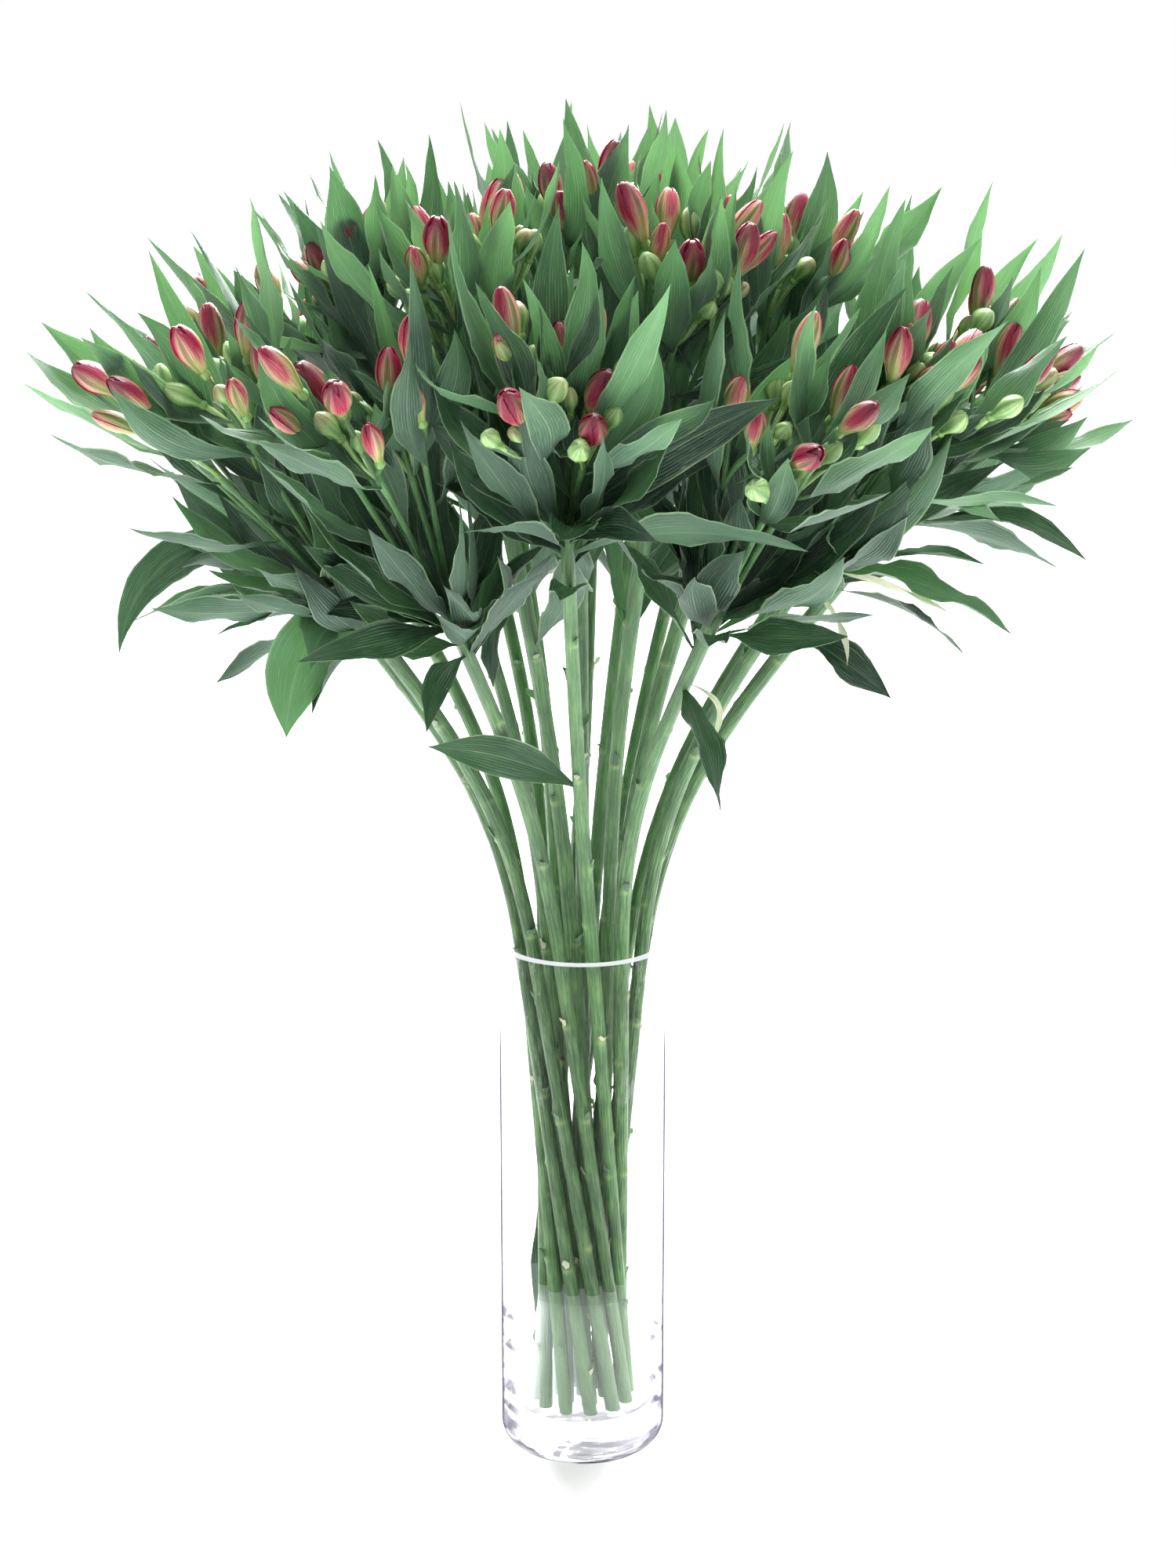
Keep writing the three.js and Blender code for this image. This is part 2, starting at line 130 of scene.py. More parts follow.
def bezier(corners, t):
    # A cubic curve: the four corners weighted by the powers of t and of what is left of 1.
    t = np.asarray(t, float).reshape(-1, 1)
    rest = 1 - t
    a, b, c, d = corners
    return a * rest**3 + 3 * b * rest**2 * t + 3 * c * rest * t**2 + d * t**3


def bezierWay(corners, t):
    # The unit direction of the same curve, from the differences of its corners.
    t = np.asarray(t, float).reshape(-1, 1)
    rest = 1 - t
    a, b, c, d = corners
    return unit((b - a) * rest**2 + 2 * (c - b) * rest * t + (d - c) * t**2)


def bowed(start, end, t, bow):
    # Straight from start to end, plus the bow times the sine of half a turn.
    return start + np.outer(t, end - start) + np.outer(np.sin(math.pi * t), bow)


def keepIn(points, cell, room):
    # Past a wall of the head's cone, a point goes back by its excess, eased out over the softening distance.
    points = np.array(points, float)
    soft = plan["soften"]
    for _ in range(plan["passes"]):
        for wall in cell:
            out = np.maximum((points - fan) @ wall + room + soft, 0)
            points += (soft * (1 - np.exp(-out / soft)) - out)[..., None] * wall
    return points


def layStems():
    # Each stem runs straight from its foot to the rim, then on a cubic curve to the node under its head.
    stems = []
    item = plan["item"]
    for ring in plan["rings"]:
        for k in range(ring["count"]):
            number = len(stems)
            turn = 360 * k / ring["count"]
            headTurn = turn + draw(number, item, 1, around(plan["headJitter"]))
            rimTurn = turn + ring["drift"] + draw(number, item, 2, around(plan["footJitter"]))
            footTurn = rimTurn + ring["twist"] + draw(number, item, 3, around(plan["footJitter"]))
            flare = ring["flare"] * math.cos(math.radians(2 * headTurn))
            axis = heading(ring["lean"] + flare + draw(number, item, 4, around(plan["leanJitter"])), headTurn)
            node = fan + axis * draw(number, item, 5, ring["reach"])
            foot = polar(ring["foot"], footTurn, plan["footHeight"])
            rim = polar(ring["rim"], rimTurn, plan["rimHeight"])
            straight = unit(rim - foot)
            pull = plan["bend"] * np.linalg.norm(node - rim)
            stems.append({
                "id": number, "ring": ring, "axis": axis, "node": node, "foot": foot, "rim": rim,
                "straight": straight,
                "upper": np.array([rim, rim + straight * pull, node - axis * pull, node]),
                "radius": draw(number, item, 6, plan["radius"]),
                "front": square(heading(90, headTurn), axis),
            })
    for stem in stems:
        stem["cell"] = [unit(other["axis"] - stem["axis"]) for other in stems if other is not stem]
    return stems


def newPart():
    # Lists for the points and faces of what goes into one material slot.
    return {"points": [], "quads": [], "triangles": [], "grain": [], "share": [], "count": 0}


def turns(count):
    # Even turns round a circle, in radians.
    return 2 * math.pi * np.arange(count) / count


def onGrid(rows, columns, *values):
    # Each value spread over all rows and columns, as one part of a vector.
    return np.stack([np.broadcast_to(value, (rows, columns)) for value in values], -1)


def bothFaces(upper, lower):
    # One ring for each row: across the upper face and back across the lower one.
    return np.concatenate([upper, lower[:, ::-1]], axis=1)


def tubeRings(path, way, reference, radius, sides):
    # Round each path point: the radius times the cosine along one side and the sine along the other.
    way = np.broadcast_to(way, path.shape)
    side = square(reference, way)
    other = np.cross(way, side)
    radius = np.broadcast_to(radius, (len(path), sides))[..., None]
    angle = turns(sides)[None, :, None]
    return path[:, None] + radius * (side[:, None] * np.cos(angle) + other[:, None] * np.sin(angle))


def roundGrain(rows, sides, radius, length):
    # A seamless grain for a round thing: the radius times the turn's cosine and sine, and the length along.
    return onGrid(rows, sides, np.cos(turns(sides)) * radius, length[:, None], np.sin(turns(sides)) * radius)


def addRings(part, rings, grain, share, start, end):
    # Quads join ring to ring and triangles join the end rings to start and end. Rings run anticlockwise
    # about their way, so faces point out.
    rows, sides = rings.shape[:2]
    index = part["count"] + np.arange(rows * sides).reshape(rows, sides)
    near = index[:-1]
    far = index[1:]
    quads = np.stack([near, np.roll(near, -1, 1), np.roll(far, -1, 1), far], axis=-1)
    startIndex = part["count"] + rows * sides
    low = index[0]
    high = index[-1]
    caps = np.concatenate([
        np.stack([np.full(sides, startIndex), np.roll(low, -1), low], axis=-1),
        np.stack([np.full(sides, startIndex + 1), high, np.roll(high, -1)], axis=-1),
    ])
    part["points"] += [rings.reshape(-1, 3), np.array([start, end])]
    part["quads"].append(quads.reshape(-1, 4))
    part["triangles"].append(caps)
    for name, values in (("grain", grain), ("share", share)):
        values = np.broadcast_to(values, rings.shape)
        part[name] += [values.reshape(-1, 3), values[0].mean(0)[None], values[-1].mean(0)[None]]
    part["count"] += rows * sides + 2


def addPiece(name, parts, sharpAngle=60):
    # All parts go into one mesh, each with its own material slot and its vertices' grain and share.
    mesh = bpy.data.meshes.new(name)
    offset = 0
    faces = {"quads": [], "triangles": []}
    slots = {"quads": [], "triangles": []}
    for slot, (part, material) in enumerate(parts):
        mesh.materials.append(material)
        for kind in faces:
            faces[kind].append(np.concatenate(part[kind]) + offset)
            slots[kind].append(np.full(len(faces[kind][-1]), slot))
        offset += part["count"]

    def joined(field):
        return np.concatenate([values for part, _ in parts for values in part[field]])

    points = joined("points") * metresPerMm
    quads = np.concatenate(faces["quads"])
    triangles = np.concatenate(faces["triangles"])
    corners = np.concatenate([quads.ravel(), triangles.ravel()])
    starts = np.concatenate([np.arange(len(quads)) * 4, len(quads) * 4 + np.arange(len(triangles)) * 3])
    mesh.vertices.add(len(points))
    mesh.vertices.foreach_set("co", points.ravel())
    mesh.loops.add(len(corners))
    mesh.loops.foreach_set("vertex_index", corners.astype(np.int32))
    mesh.polygons.add(len(starts))
    mesh.polygons.foreach_set("loop_start", starts.astype(np.int32))
    slotOfFace = np.concatenate(slots["quads"] + slots["triangles"])
    mesh.polygons.foreach_set("material_index", slotOfFace.astype(np.int32))
    for field in ("grain", "share"):
        layer = mesh.attributes.new(field, "FLOAT_VECTOR", "POINT")
        layer.data.foreach_set("vector", joined(field).ravel().astype(np.float32))
    mesh.update(calc_edges=True)
    mesh.polygons.foreach_set("use_smooth", np.ones(len(starts), bool))
    mesh.set_sharp_from_angle(angle=math.radians(sharpAngle))
    piece = bpy.data.objects.new(name, mesh)
    bpy.context.scene.collection.objects.link(piece)
    return piece


def colour(code):
    # Each pair of digits as a share of 255, brought from screen values to light values.
    shares = [int(code[i:i + 2], 16) / 255 for i in (0, 2, 4)]
    return tuple(c / 12.92 if c < 0.04045 else ((c + 0.055) / 1.055) ** 2.4 for c in shares) + (1.0,)


def addNode(tree, kind, inputs=None, **settings):
    # A new node with its settings, and each input linked to a socket or set to a value.
    node = tree.nodes.new(kind)
    for name, value in settings.items():
        setattr(node, name, value)
    for name, value in (inputs or {}).items():
        if isinstance(value, bpy.types.NodeSocket):
            tree.links.new(value, node.inputs[name])
        else:
            node.inputs[name].default_value = value
    return node


def calc(tree, operation, a, b=0.0, clamp=False):
    # One sum of two numbers.
    return addNode(tree, "ShaderNodeMath", {0: a, 1: b}, operation=operation, use_clamp=clamp).outputs[0]


def product(tree, first, *others):
    # All the shares times each other.
    for other in others:
        first = calc(tree, "MULTIPLY", first, other)
    return first


def remap(tree, value, low, high, toLow=0.0, toHigh=1.0):
    # Eased from one share, where the value is low, to the other, where it is high.
    return addNode(
        tree, "ShaderNodeMapRange", {0: value, 1: low, 2: high, 3: toLow, 4: toHigh},
        interpolation_type="SMOOTHSTEP",
    ).outputs[0]


def blend(tree, share, a, b):
    # From colour a at no share to colour b at a full one.
    return addNode(tree, "ShaderNodeMix", {0: share, 6: a, 7: b}, data_type="RGBA").outputs[2]


def tinted(tree, under, code, *shares):
    # The colour under, mixed towards the code's colour by the product of the shares.
    return blend(tree, product(tree, *shares), under, colour(code))


def scaled(tree, vector, factors):
    # The vector's parts, each times its own factor.
    return addNode(tree, "ShaderNodeVectorMath", {0: vector, 1: factors}, operation="MULTIPLY").outputs[0]


def noise(tree, vector, scale, detail=2.0, roughness=0.5, factors=None):
    # Cloudy noise between 0 and 1, drawn out along the ways that have a small factor.
    vector = scaled(tree, vector, factors) if factors else vector
    return addNode(
        tree, "ShaderNodeTexNoise",
        {"Vector": vector, "Scale": scale, "Detail": detail, "Roughness": roughness},
    ).outputs[0]


def ramp(tree, share, stops):
    # Colours between stops along the share.
    made = addNode(tree, "ShaderNodeValToRGB", {0: share})
    line = made.color_ramp.elements
    while len(line) < len(stops):
        line.new(0.5)
    for element, (place, code) in zip(line, stops):
        element.position = place
        element.color = colour(code)
    return made.outputs[0]


def partsOf(tree, vector):
    # The vector's three parts.
    return addNode(tree, "ShaderNodeSeparateXYZ", {0: vector}).outputs


def attribute(tree, name):
    # A vector kept on the vertices, with its three parts.
    vector = addNode(tree, "ShaderNodeAttribute", attribute_name=name).outputs["Vector"]
    return vector, partsOf(tree, vector)


def placeOf(tree):
    # The place on the object in metres.
    return addNode(tree, "ShaderNodeTexCoord").outputs["Object"]


def bumped(tree, height, strength, distance):
    # The normal of a surface that the height raises by up to the distance.
    return addNode(
        tree, "ShaderNodeBump", {"Height": height, "Strength": strength, "Distance": distance},
    ).outputs[0]


def throughShader(tree, tint):
    # A clear film with a tint.
    return addNode(tree, "ShaderNodeBsdfTransparent", {"Color": tint}).outputs[0]


def mixShaders(tree, share, a, b):
    # From shader a at no share to shader b at a full one.
    return addNode(tree, "ShaderNodeMixShader", {0: share, 1: a, 2: b}).outputs[0]


def newMaterial(name):
    # An empty material and its node tree.
    material = bpy.data.materials.new(name)
    material.use_nodes = True
    material.node_tree.nodes.clear()
    return material, material.node_tree


def finishWith(tree, surface):
    # The shader goes to the material's output.
    addNode(tree, "ShaderNodeOutputMaterial", {"Surface": surface})


def newGroup(name, inputs, outputs):
    # A node group. An input without a value of its own is a vector, and all else are numbers.
    group = bpy.data.node_groups.new(name, "ShaderNodeTree")
    for label, value in inputs.items():
        kind = "NodeSocketVector" if value is None else "NodeSocketFloat"
        socket = group.interface.new_socket(label, in_out="INPUT", socket_type=kind)
        if value is not None:
            socket.default_value = value
    for label in outputs:
        group.interface.new_socket(label, in_out="OUTPUT", socket_type="NodeSocketFloat")
    return group, addNode(group, "NodeGroupInput").outputs, addNode(group, "NodeGroupOutput").inputs


def makeVeins():
    # Parallel veins: the cosine of the place across over the spacing, with the place shifted by slow noise.
    group, given, made = newGroup(
        "parallelVeins", {"Grain": None, "Spacing": 1.9, "Wander": 0.5, "Sharpness": 0.5}, ["Line", "Height"],
    )
    across = partsOf(group, given["Grain"])[0]
    slow = noise(group, given["Grain"], 1.0, factors=(0.12, 0.02, 1.0))
    shift = product(group, calc(group, "SUBTRACT", slow, 0.5), given["Wander"])
    turnsAcross = calc(group, "DIVIDE", calc(group, "ADD", across, shift), given["Spacing"])
    wave = calc(group, "COSINE", product(group, turnsAcross, 2 * math.pi))
    group.links.new(remap(group, wave, given["Sharpness"], 1.0), made["Line"])
    group.links.new(wave, made["Height"])
    return group


def makeStreaks():
    # Streaks and patches: fine noise drawn out along the grain, and broad noise over the piece itself.
    group, given, made = newGroup(
        "plantStreaks", {"Grain": None, "Fineness": 1.0, "Stretch": 0.05, "Patch Scale": 22.0},
        ["Streak", "Patch"],
    )
    across, along, deep = partsOf(group, given["Grain"])
    along = product(group, along, given["Stretch"])
    drawnOut = addNode(group, "ShaderNodeCombineXYZ", {0: across, 1: along, 2: deep}).outputs[0]
    streak = noise(group, drawnOut, given["Fineness"], 3.0, 0.6)
    patch = noise(group, placeOf(group), given["Patch Scale"], 3.0, 0.6)
    group.links.new(remap(group, streak, 0.3, 0.7), made["Streak"])
    group.links.new(remap(group, patch, 0.32, 0.68), made["Patch"])
    return group


veinGroup = makeVeins()
streakGroup = makeStreaks()


def placed(tree, group, grain, values):
    # A group's node in a material: the grain goes in first, and then the material's own values in order.
    return addNode(tree, "ShaderNodeGroup", dict(enumerate([grain, *values])), node_tree=group).outputs


def plantSkin(tree, look, tint, roughness, height):
    # The shader of every plant finish: its colour, its shine, and a bump from the height.
    return addNode(tree, "ShaderNodeBsdfPrincipled", {
        "Base Color": tint, "Roughness": roughness, "Specular IOR Level": look["shine"],
        "Normal": bumped(tree, height, *look["bump"]),
    }).outputs[0]


def thinSheet(tree, skin, glow, share):
    # A thin living sheet: light off its face, and light from behind through it.
    through = addNode(tree, "ShaderNodeBsdfTranslucent", {"Color": glow}).outputs[0]
    return mixShaders(tree, share, skin, through)


# In a finish, streaks, veins and bump hold those nodes' own values. Any other group of numbers is where a
# mask begins and ends, and its shares there if they aren't 0 and 1.
leafFinish = {
    "deep": "1a2d23", "fresh": "4a6c55", "under": "5d7768", "vein": "a3c497", "rim": "b4cfa2",
    "tip": "9d9a5a", "dry": "c8c5b0", "glowDeep": "335e40", "glowFresh": "a6cd9c", "glowVein": "e4f6d8",
    "streaks": (0.9, 0.06, 26.0), "streakShare": 0.3, "patchShare": 0.35,
    "paintedTopLightHeight": (0.66, 0.8, 0.0, 0.3), "underFace": (0.2, -0.2, 0.0, 0.55),
    "veinSpacing": 1.6, "veinForm": (1.5, 0.8), "veinShare": 0.38, "veinGaps": (0.3, 0.9, 0.05, 1.0),
    "midrib": (0.07, 0.0, 0.0, 0.8), "rimFrom": (0.88, 1.0, 0.0, 0.42), "tipFrom": (0.955, 1.0, 0.0, 0.6),
    "dryTone": (1.0, 1.6), "roughness": (0.0, 1.0, 0.4, 0.58), "shine": 0.45, "bump": (0.45, 0.0003),
    "glowShare": 0.4, "glowLine": (0.75, 1.0, 0.0, 0.55), "glowGaps": (0.25, 0.85, 0.15, 1.0),
}


def makeLeafMaterial():
    # Tone picks the green, and height lightens it towards the top as painted light from behind and above, and
    # the lower face is greyer. Pale veins run along, and rim and tip are paler. Light from behind shows the
    # veins as well.
    look = leafFinish
    material, tree = newMaterial("leafGreen")
    grain, (across, _, face) = attribute(tree, "grain")
    _, (fromMidrib, along, tone) = attribute(tree, "share")
    streak, patch = placed(tree, streakGroup, grain, look["streaks"])
    line, relief = placed(tree, veinGroup, grain, (look["veinSpacing"], *look["veinForm"]))
    # Painted light: leaves are made lighter and fresher towards the top, where light from behind and above
    # falls, and so is the light through them.
    paintedTopLight = remap(tree, partsOf(tree, placeOf(tree))[2], *look["paintedTopLightHeight"])
    fresh = calc(tree, "MINIMUM", calc(tree, "ADD", tone, paintedTopLight), 1.0)
    green = blend(tree, fresh, colour(look["deep"]), colour(look["fresh"]))
    green = tinted(tree, green, look["fresh"], streak, look["streakShare"])
    green = tinted(tree, green, look["deep"], patch, look["patchShare"])
    green = tinted(tree, green, look["under"], remap(tree, face, *look["underFace"]))
    line = product(tree, line, remap(tree, streak, *look["veinGaps"]))
    line = calc(tree, "MAXIMUM", line, remap(tree, fromMidrib, *look["midrib"]))
    green = tinted(tree, green, look["vein"], line, look["veinShare"])
    green = tinted(tree, green, look["rim"], remap(tree, fromMidrib, *look["rimFrom"]))
    green = tinted(tree, green, look["tip"], remap(tree, along, *look["tipFrom"]))
    green = tinted(tree, green, look["dry"], remap(tree, tone, *look["dryTone"]))
    skin = plantSkin(tree, look, green, remap(tree, streak, *look["roughness"]), relief)
    glow = blend(tree, fresh, colour(look["glowDeep"]), colour(look["glowFresh"]))
    wave = calc(tree, "COSINE", product(tree, across, 2 * math.pi / look["veinSpacing"]))
    gaps = remap(tree, streak, *look["glowGaps"])
    glow = tinted(tree, glow, look["glowVein"], remap(tree, wave, *look["glowLine"]), gaps)
    finishWith(tree, thinSheet(tree, skin, glow, look["glowShare"]))
    return material


stalkFinish = {
    "deep": "12361a", "fresh": "366e30", "pale": "86b068", "scar": "94a768", "upper": "8fb090",
    "paintedPaleInWater": "6f9268", "paintedWhiteInWater": "d9e6e6",
    "streaks": (1.9, 0.03, 40.0), "streakShare": 0.36, "patchShare": 0.45, "scarShare": 0.45,
    "upperHeight": (0.3, 0.42, 0.0, 0.14), "paintedPaleInWaterHeight": (0.105, 0.085), "paintedPaleInWaterShare": 0.55,
    "backDepth": 0.016, "paintedWhiteInWaterFrom": (-0.004, 0.01, 0.0, 0.78),
    "roughness": (0.0, 1.0, 0.3, 0.46), "shine": 0.36, "bump": (1.0, 0.0004),
}


def makeStalkMaterial():
    # Streaks run up the stalk, and raised places and its upper part are paler. Below the waterline it is
    # painted paler, and whitest at the back on the left, as painted light for the glow seen through water and
    # glass.
    look = stalkFinish
    material, tree = newMaterial("stalkGreen")
    grain, _ = attribute(tree, "grain")
    _, (raised, _, tone) = attribute(tree, "share")
    streak, patch = placed(tree, streakGroup, grain, look["streaks"])
    green = blend(tree, tone, colour(look["deep"]), colour(look["fresh"]))
    green = tinted(tree, green, look["pale"], streak, look["streakShare"])
    green = tinted(tree, green, look["deep"], patch, look["patchShare"])
    green = tinted(tree, green, look["scar"], raised, look["scarShare"])
    width, depth, height = partsOf(tree, placeOf(tree))
    green = tinted(tree, green, look["upper"], remap(tree, height, *look["upperHeight"]))
    # Painted light: under the water the stalk turns paler, and whiter at the back on the left.
    paintedPaleInWater = remap(tree, height, *look["paintedPaleInWaterHeight"])
    green = tinted(tree, green, look["paintedPaleInWater"], paintedPaleInWater, look["paintedPaleInWaterShare"])
    leftward = product(tree, width, -1.0)
    behind = calc(tree, "MINIMUM", leftward, calc(tree, "ADD", depth, look["backDepth"]))
    green = tinted(tree, green, look["paintedWhiteInWater"], paintedPaleInWater, remap(tree, behind, *look["paintedWhiteInWaterFrom"]))
    finishWith(tree, plantSkin(tree, look, green, remap(tree, patch, *look["roughness"]), streak))
    return material


petalFinish = {
    "edge": [
        (0.0, "8fad5c"), (0.14, "c9c68c"), (0.32, "cc6a74"),
        (0.54, "aa2046"), (0.86, "86183c"), (1.0, "5a3028"),
    ],
    "middle": [
        (0.0, "7fa24c"), (0.28, "b4c07a"), (0.52, "dcb594"),
        (0.76, "d87a88"), (0.93, "944048"), (1.0, "56542f"),
    ],
    "rib": "5f6d38", "vein": "7a1a3c", "dusk": "5c1c30", "glow": "e0647e", "glowShare": 0.22,
    "streaks": (1.3, 0.08, 24.0), "veins": (1.2, 0.7, 0.4), "wander": 0.22, "heldBack": 0.66,
    "sideFrom": (0.12, 0.62), "ribWidth": (0.26, 0.05), "ribAlong": (0.05, 0.8, 0.4, 0.9),
    "duskAlong": (0.3, 0.8, 0.0, 0.6), "veinAlong": (0.1, 0.6, 0.12, 0.45),
    "roughness": 0.36, "shine": 0.5, "bump": (0.3, 0.0003),
}


def makePetalMaterial():
    # Along a petal its colour runs from green through cream to pink, sooner at its edges than up its middle.
    # Tone holds it back towards the green end, and a green rib runs up the middle.
    look = petalFinish
    material, tree = newMaterial("petalPink")
    grain, _ = attribute(tree, "grain")
    _, (fromMidrib, along, tone) = attribute(tree, "share")
    streak, patch = placed(tree, streakGroup, grain, look["streaks"])
    line, relief = placed(tree, veinGroup, grain, look["veins"])
    wander = product(tree, calc(tree, "SUBTRACT", streak, 0.5), look["wander"])
    kept = calc(tree, "SUBTRACT", 1.0, product(tree, tone, look["heldBack"]))
    place = calc(tree, "ADD", product(tree, along, kept), wander, clamp=True)
    side = remap(tree, fromMidrib, *look["sideFrom"])
    pink = blend(tree, side, ramp(tree, place, look["middle"]), ramp(tree, place, look["edge"]))
    ribWidth = remap(tree, fromMidrib, *look["ribWidth"])
    pink = tinted(tree, pink, look["rib"], ribWidth, remap(tree, along, *look["ribAlong"]))
    pink = tinted(tree, pink, look["dusk"], patch, remap(tree, place, *look["duskAlong"]))
    pink = tinted(tree, pink, look["vein"], line, remap(tree, along, *look["veinAlong"]))
    skin = plantSkin(tree, look, pink, look["roughness"], relief)
    finishWith(tree, thinSheet(tree, skin, colour(look["glow"]), look["glowShare"]))
    return material


greenBudFinish = {
    "base": "82a65c", "fresh": "b2d08c", "rib": "3f7036", "blush": "a04a55",
    "streaks": (1.5, 0.1, 60.0), "veins": (0.75, 0.3, 0.1), "patchShare": 0.4, "veinShare": 0.6,
    "blushAlong": (0.4, 1.0), "blushTone": (0.4, 1.0, 0.0, 0.9),
    "roughness": 0.42, "shine": 0.5, "bump": (0.3, 0.0003),
}


def makeGreenBudMaterial():
    # Pale green, with darker green ribs and fine lines, and a red blush towards the tip on some.
    look = greenBudFinish
    material, tree = newMaterial("budGreen")
    grain, _ = attribute(tree, "grain")
    _, (ridge, along, tone) = attribute(tree, "share")
    streak, patch = placed(tree, streakGroup, grain, look["streaks"])
    line, _ = placed(tree, veinGroup, grain, look["veins"])
    green = blend(tree, along, colour(look["base"]), colour(look["fresh"]))
    green = tinted(tree, green, look["rib"], patch, look["patchShare"])
    ribs = calc(tree, "MAXIMUM", ridge, product(tree, line, look["veinShare"]))
    green = tinted(tree, green, look["rib"], ribs)
    blush = product(tree, remap(tree, along, *look["blushAlong"]), remap(tree, tone, *look["blushTone"]))
    green = tinted(tree, green, look["blush"], blush, streak)
    finishWith(tree, plantSkin(tree, look, green, look["roughness"], streak))
    return material


leafMaterial = makeLeafMaterial()
stalkMaterial = makeStalkMaterial()
petalMaterial = makePetalMaterial()
greenBudMaterial = makeGreenBudMaterial()
print("stage: plant finishes made")

leafShape = {
    "rootPower": 1.45, "tipPower": 1.3, "thickness": 0.6, "edgeThins": 0.6, "fold": 0.2, "foldPower": 1.4,
    "rootHalf": 1.3, "rootShare": 1 / 8, "rootFade": 6, "fullFrom": 2, "room": 1.2,
    "wave": 0.3, "waves": (1.0, 2.6), "ripple": 0.06, "ripples": 7.5, "sideSkew": 1.7, "rippleSkew": 2.3,
    "pleat": 0.2, "bow": 0.08, "twistRoot": 25, "twistTip": 75,
    "tipRoom": 8, "looseRoom": -16, "looseTipRoom": -30,
    "pressedTo": 30, "pressedRoot": 18, "pressedTip": -14,
    "archedFrom": 60, "archedRoot": -20, "archedTip": 14, "sag": 0.2,
}
# Each kind has its first item for draws, and its rows and columns of points. Where it has several items, each
# has its range of places along a flower stalk.
whorl = {"item": 0, "grid": (20, 11), "shift": 0, "length": (102, 134), "width": (20, 28),
         "opening": (38, 70), "below": (6, 18), "sink": 1, "turn": 14, "tone": (0, 0.7)}
forkLeaf = {"item": 20, "grid": (16, 9), "width": (16, 25), "opening": (10, 34), "below": 6, "sink": 1,
            "turn": 70, "tone": (0.2, 1)}
strayLeaf = {"item": 40, "grid": (20, 11), "at": (0.78, 0.92), "length": (72, 102), "width": (15, 23),
             "opening": (46, 92), "sink": 3, "turn": 35, "tone": (0, 0.6)}
lowLeaf = {"item": 45, "grid": (18, 9), "stem": 10, "height": 188, "turn": 12, "length": 122, "width": 13,
           "openRoot": 12, "openTip": 4, "sink": 2, "droop": 0, "bow": 0, "twist": (28, 36), "tone": 0.1}

# Leaves placed one by one. The last three are dry wisps, and a low leaf keeps to no head's cone.
placedLeaf = {"item": 200, "grid": (24, 9), "droop": 0, "bow": 0, "sink": strayLeaf["sink"]}
placedFields = ("stem", "at", "turn", "length", "width", "openRoot", "openTip", "twist", "tone", "low")
placedLeaves = [
    (16, 0.36, -76, 98, 23, 46, 78, (-50, -72), 0.5, True),
    (5, 0.8, 0, 80, 20, 120, 168, (0, 30), 0.2, True),
    (13, 1, 0, 196, 29, 12, 135, (-10, -80), 0.3, False),
    (14, 0.93, 30, 66, 31, 40, 120, (-40, -80), 1.0, False),
    (16, 0.99, 80, 152, 26, 38, 58, (64, 82), 0.1, True),
    (16, 0.93, 72, 146, 23, 50, 96, (-56, -84), 0.9, True),
    (14, 0.99, 15, 96, 36, 84, 138, (-50, -70), 1.0, True),
    (18, 0.97, 30, 84, 6, 66, 92, (0, 240), 1.6, False),
    (18, 0.93, 0, 64, 5, 70, 150, (0, 300), 1.5, False),
    (17, 0.8, 60, 70, 4, 90, 200, (0, 200), 1.5, False),
]

# The kinds from here on are loose: they may cross into a neighbouring head.
underLeaf = {"item": 100, "grid": (16, 9), "shift": 0.5, "length": (84, 126), "width": (17, 26),
             "opening": (24, 60), "below": (8, 26), "sink": 2, "turn": 16, "tone": (0, 0.7), "loose": True}
innerLeaf = {"item": 110, "grid": (14, 7), "shift": 0.25, "length": (90, 132), "width": (16, 25),
             "opening": (10, 40), "below": (0, 8), "sink": 2, "turn": 20, "tone": (0.1, 0.9), "loose": True}
fillLeaf = {"item": 210, "grid": (16, 9), "length": (80, 120), "width": (17, 27), "opening": (30, 96),
            "sink": 3, "tone": (0, 0.8), "loose": True,
            "inner": {"count": 5, "at": (0.6, 0.94), "turn": (0, 360)},
            "outer": {"count": 6, "at": (0.86, 0.99), "turn": (60, 300)}}
rayLeaf = {"grid": (14, 7), "length": (76, 116), "width": (14, 23), "opening": (14, 50), "sink": 1,
           "turn": 120, "tone": (0.2, 1), "loose": True, "items": {140: (0.25, 0.5)}}
crownLeaf = {"grid": (12, 7), "length": (66, 100), "width": (13, 21), "opening": (6, 36), "sink": 1,
             "turn": 150, "tone": (0.3, 1), "loose": True, "items": {170: (0.62, 0.84), 180: (0.62, 0.84)}}
bract = {"grid": (9, 5), "length": (34, 58), "width": (8, 13), "opening": (12, 42), "sink": 0.8,
         "turn": 90, "tone": (0.4, 1), "loose": True, "items": {150: (0.68, 0.68), 160: (0.8, 0.8)}}


def bladeHalf(s):
    # The place along to the root's power times what is left to the tip's power, scaled to 1 at the widest.
    rootPower = leafShape["rootPower"]
    tipPower = leafShape["tipPower"]
    widest = rootPower / (rootPower + tipPower)
    return (s / widest) ** rootPower * ((1 - s) / (1 - widest)) ** tipPower


def openingLimit(base, axis, out, length, cell, room):
    # The widest opening whose tip stays behind each wall: the wall's own angle plus that of the free room.
    limit = math.pi
    for wall in cell:
        across = float(wall @ out)
        behind = -float(wall @ axis)
        free = -float(wall @ (base - fan)) - room
        reach = length * math.hypot(across, behind)
        if across > 0:
            limit = min(limit, math.atan2(behind, across) + math.asin(max(-1, min(1, free / reach))))
    return math.degrees(max(limit, 0))


def spreadShare(base, axis, out, opening, length):
    # How far out the spread leaves room for, over how far out the leaf would go, or 1 if it fits.
    tip = base + leaning(axis, out, opening) * length
    inside = math.hypot(base[0], base[1])
    outside = math.hypot(tip[0], tip[1])
    return (plan["spread"] - inside) / (outside - inside) if outside > plan["spread"] else 1


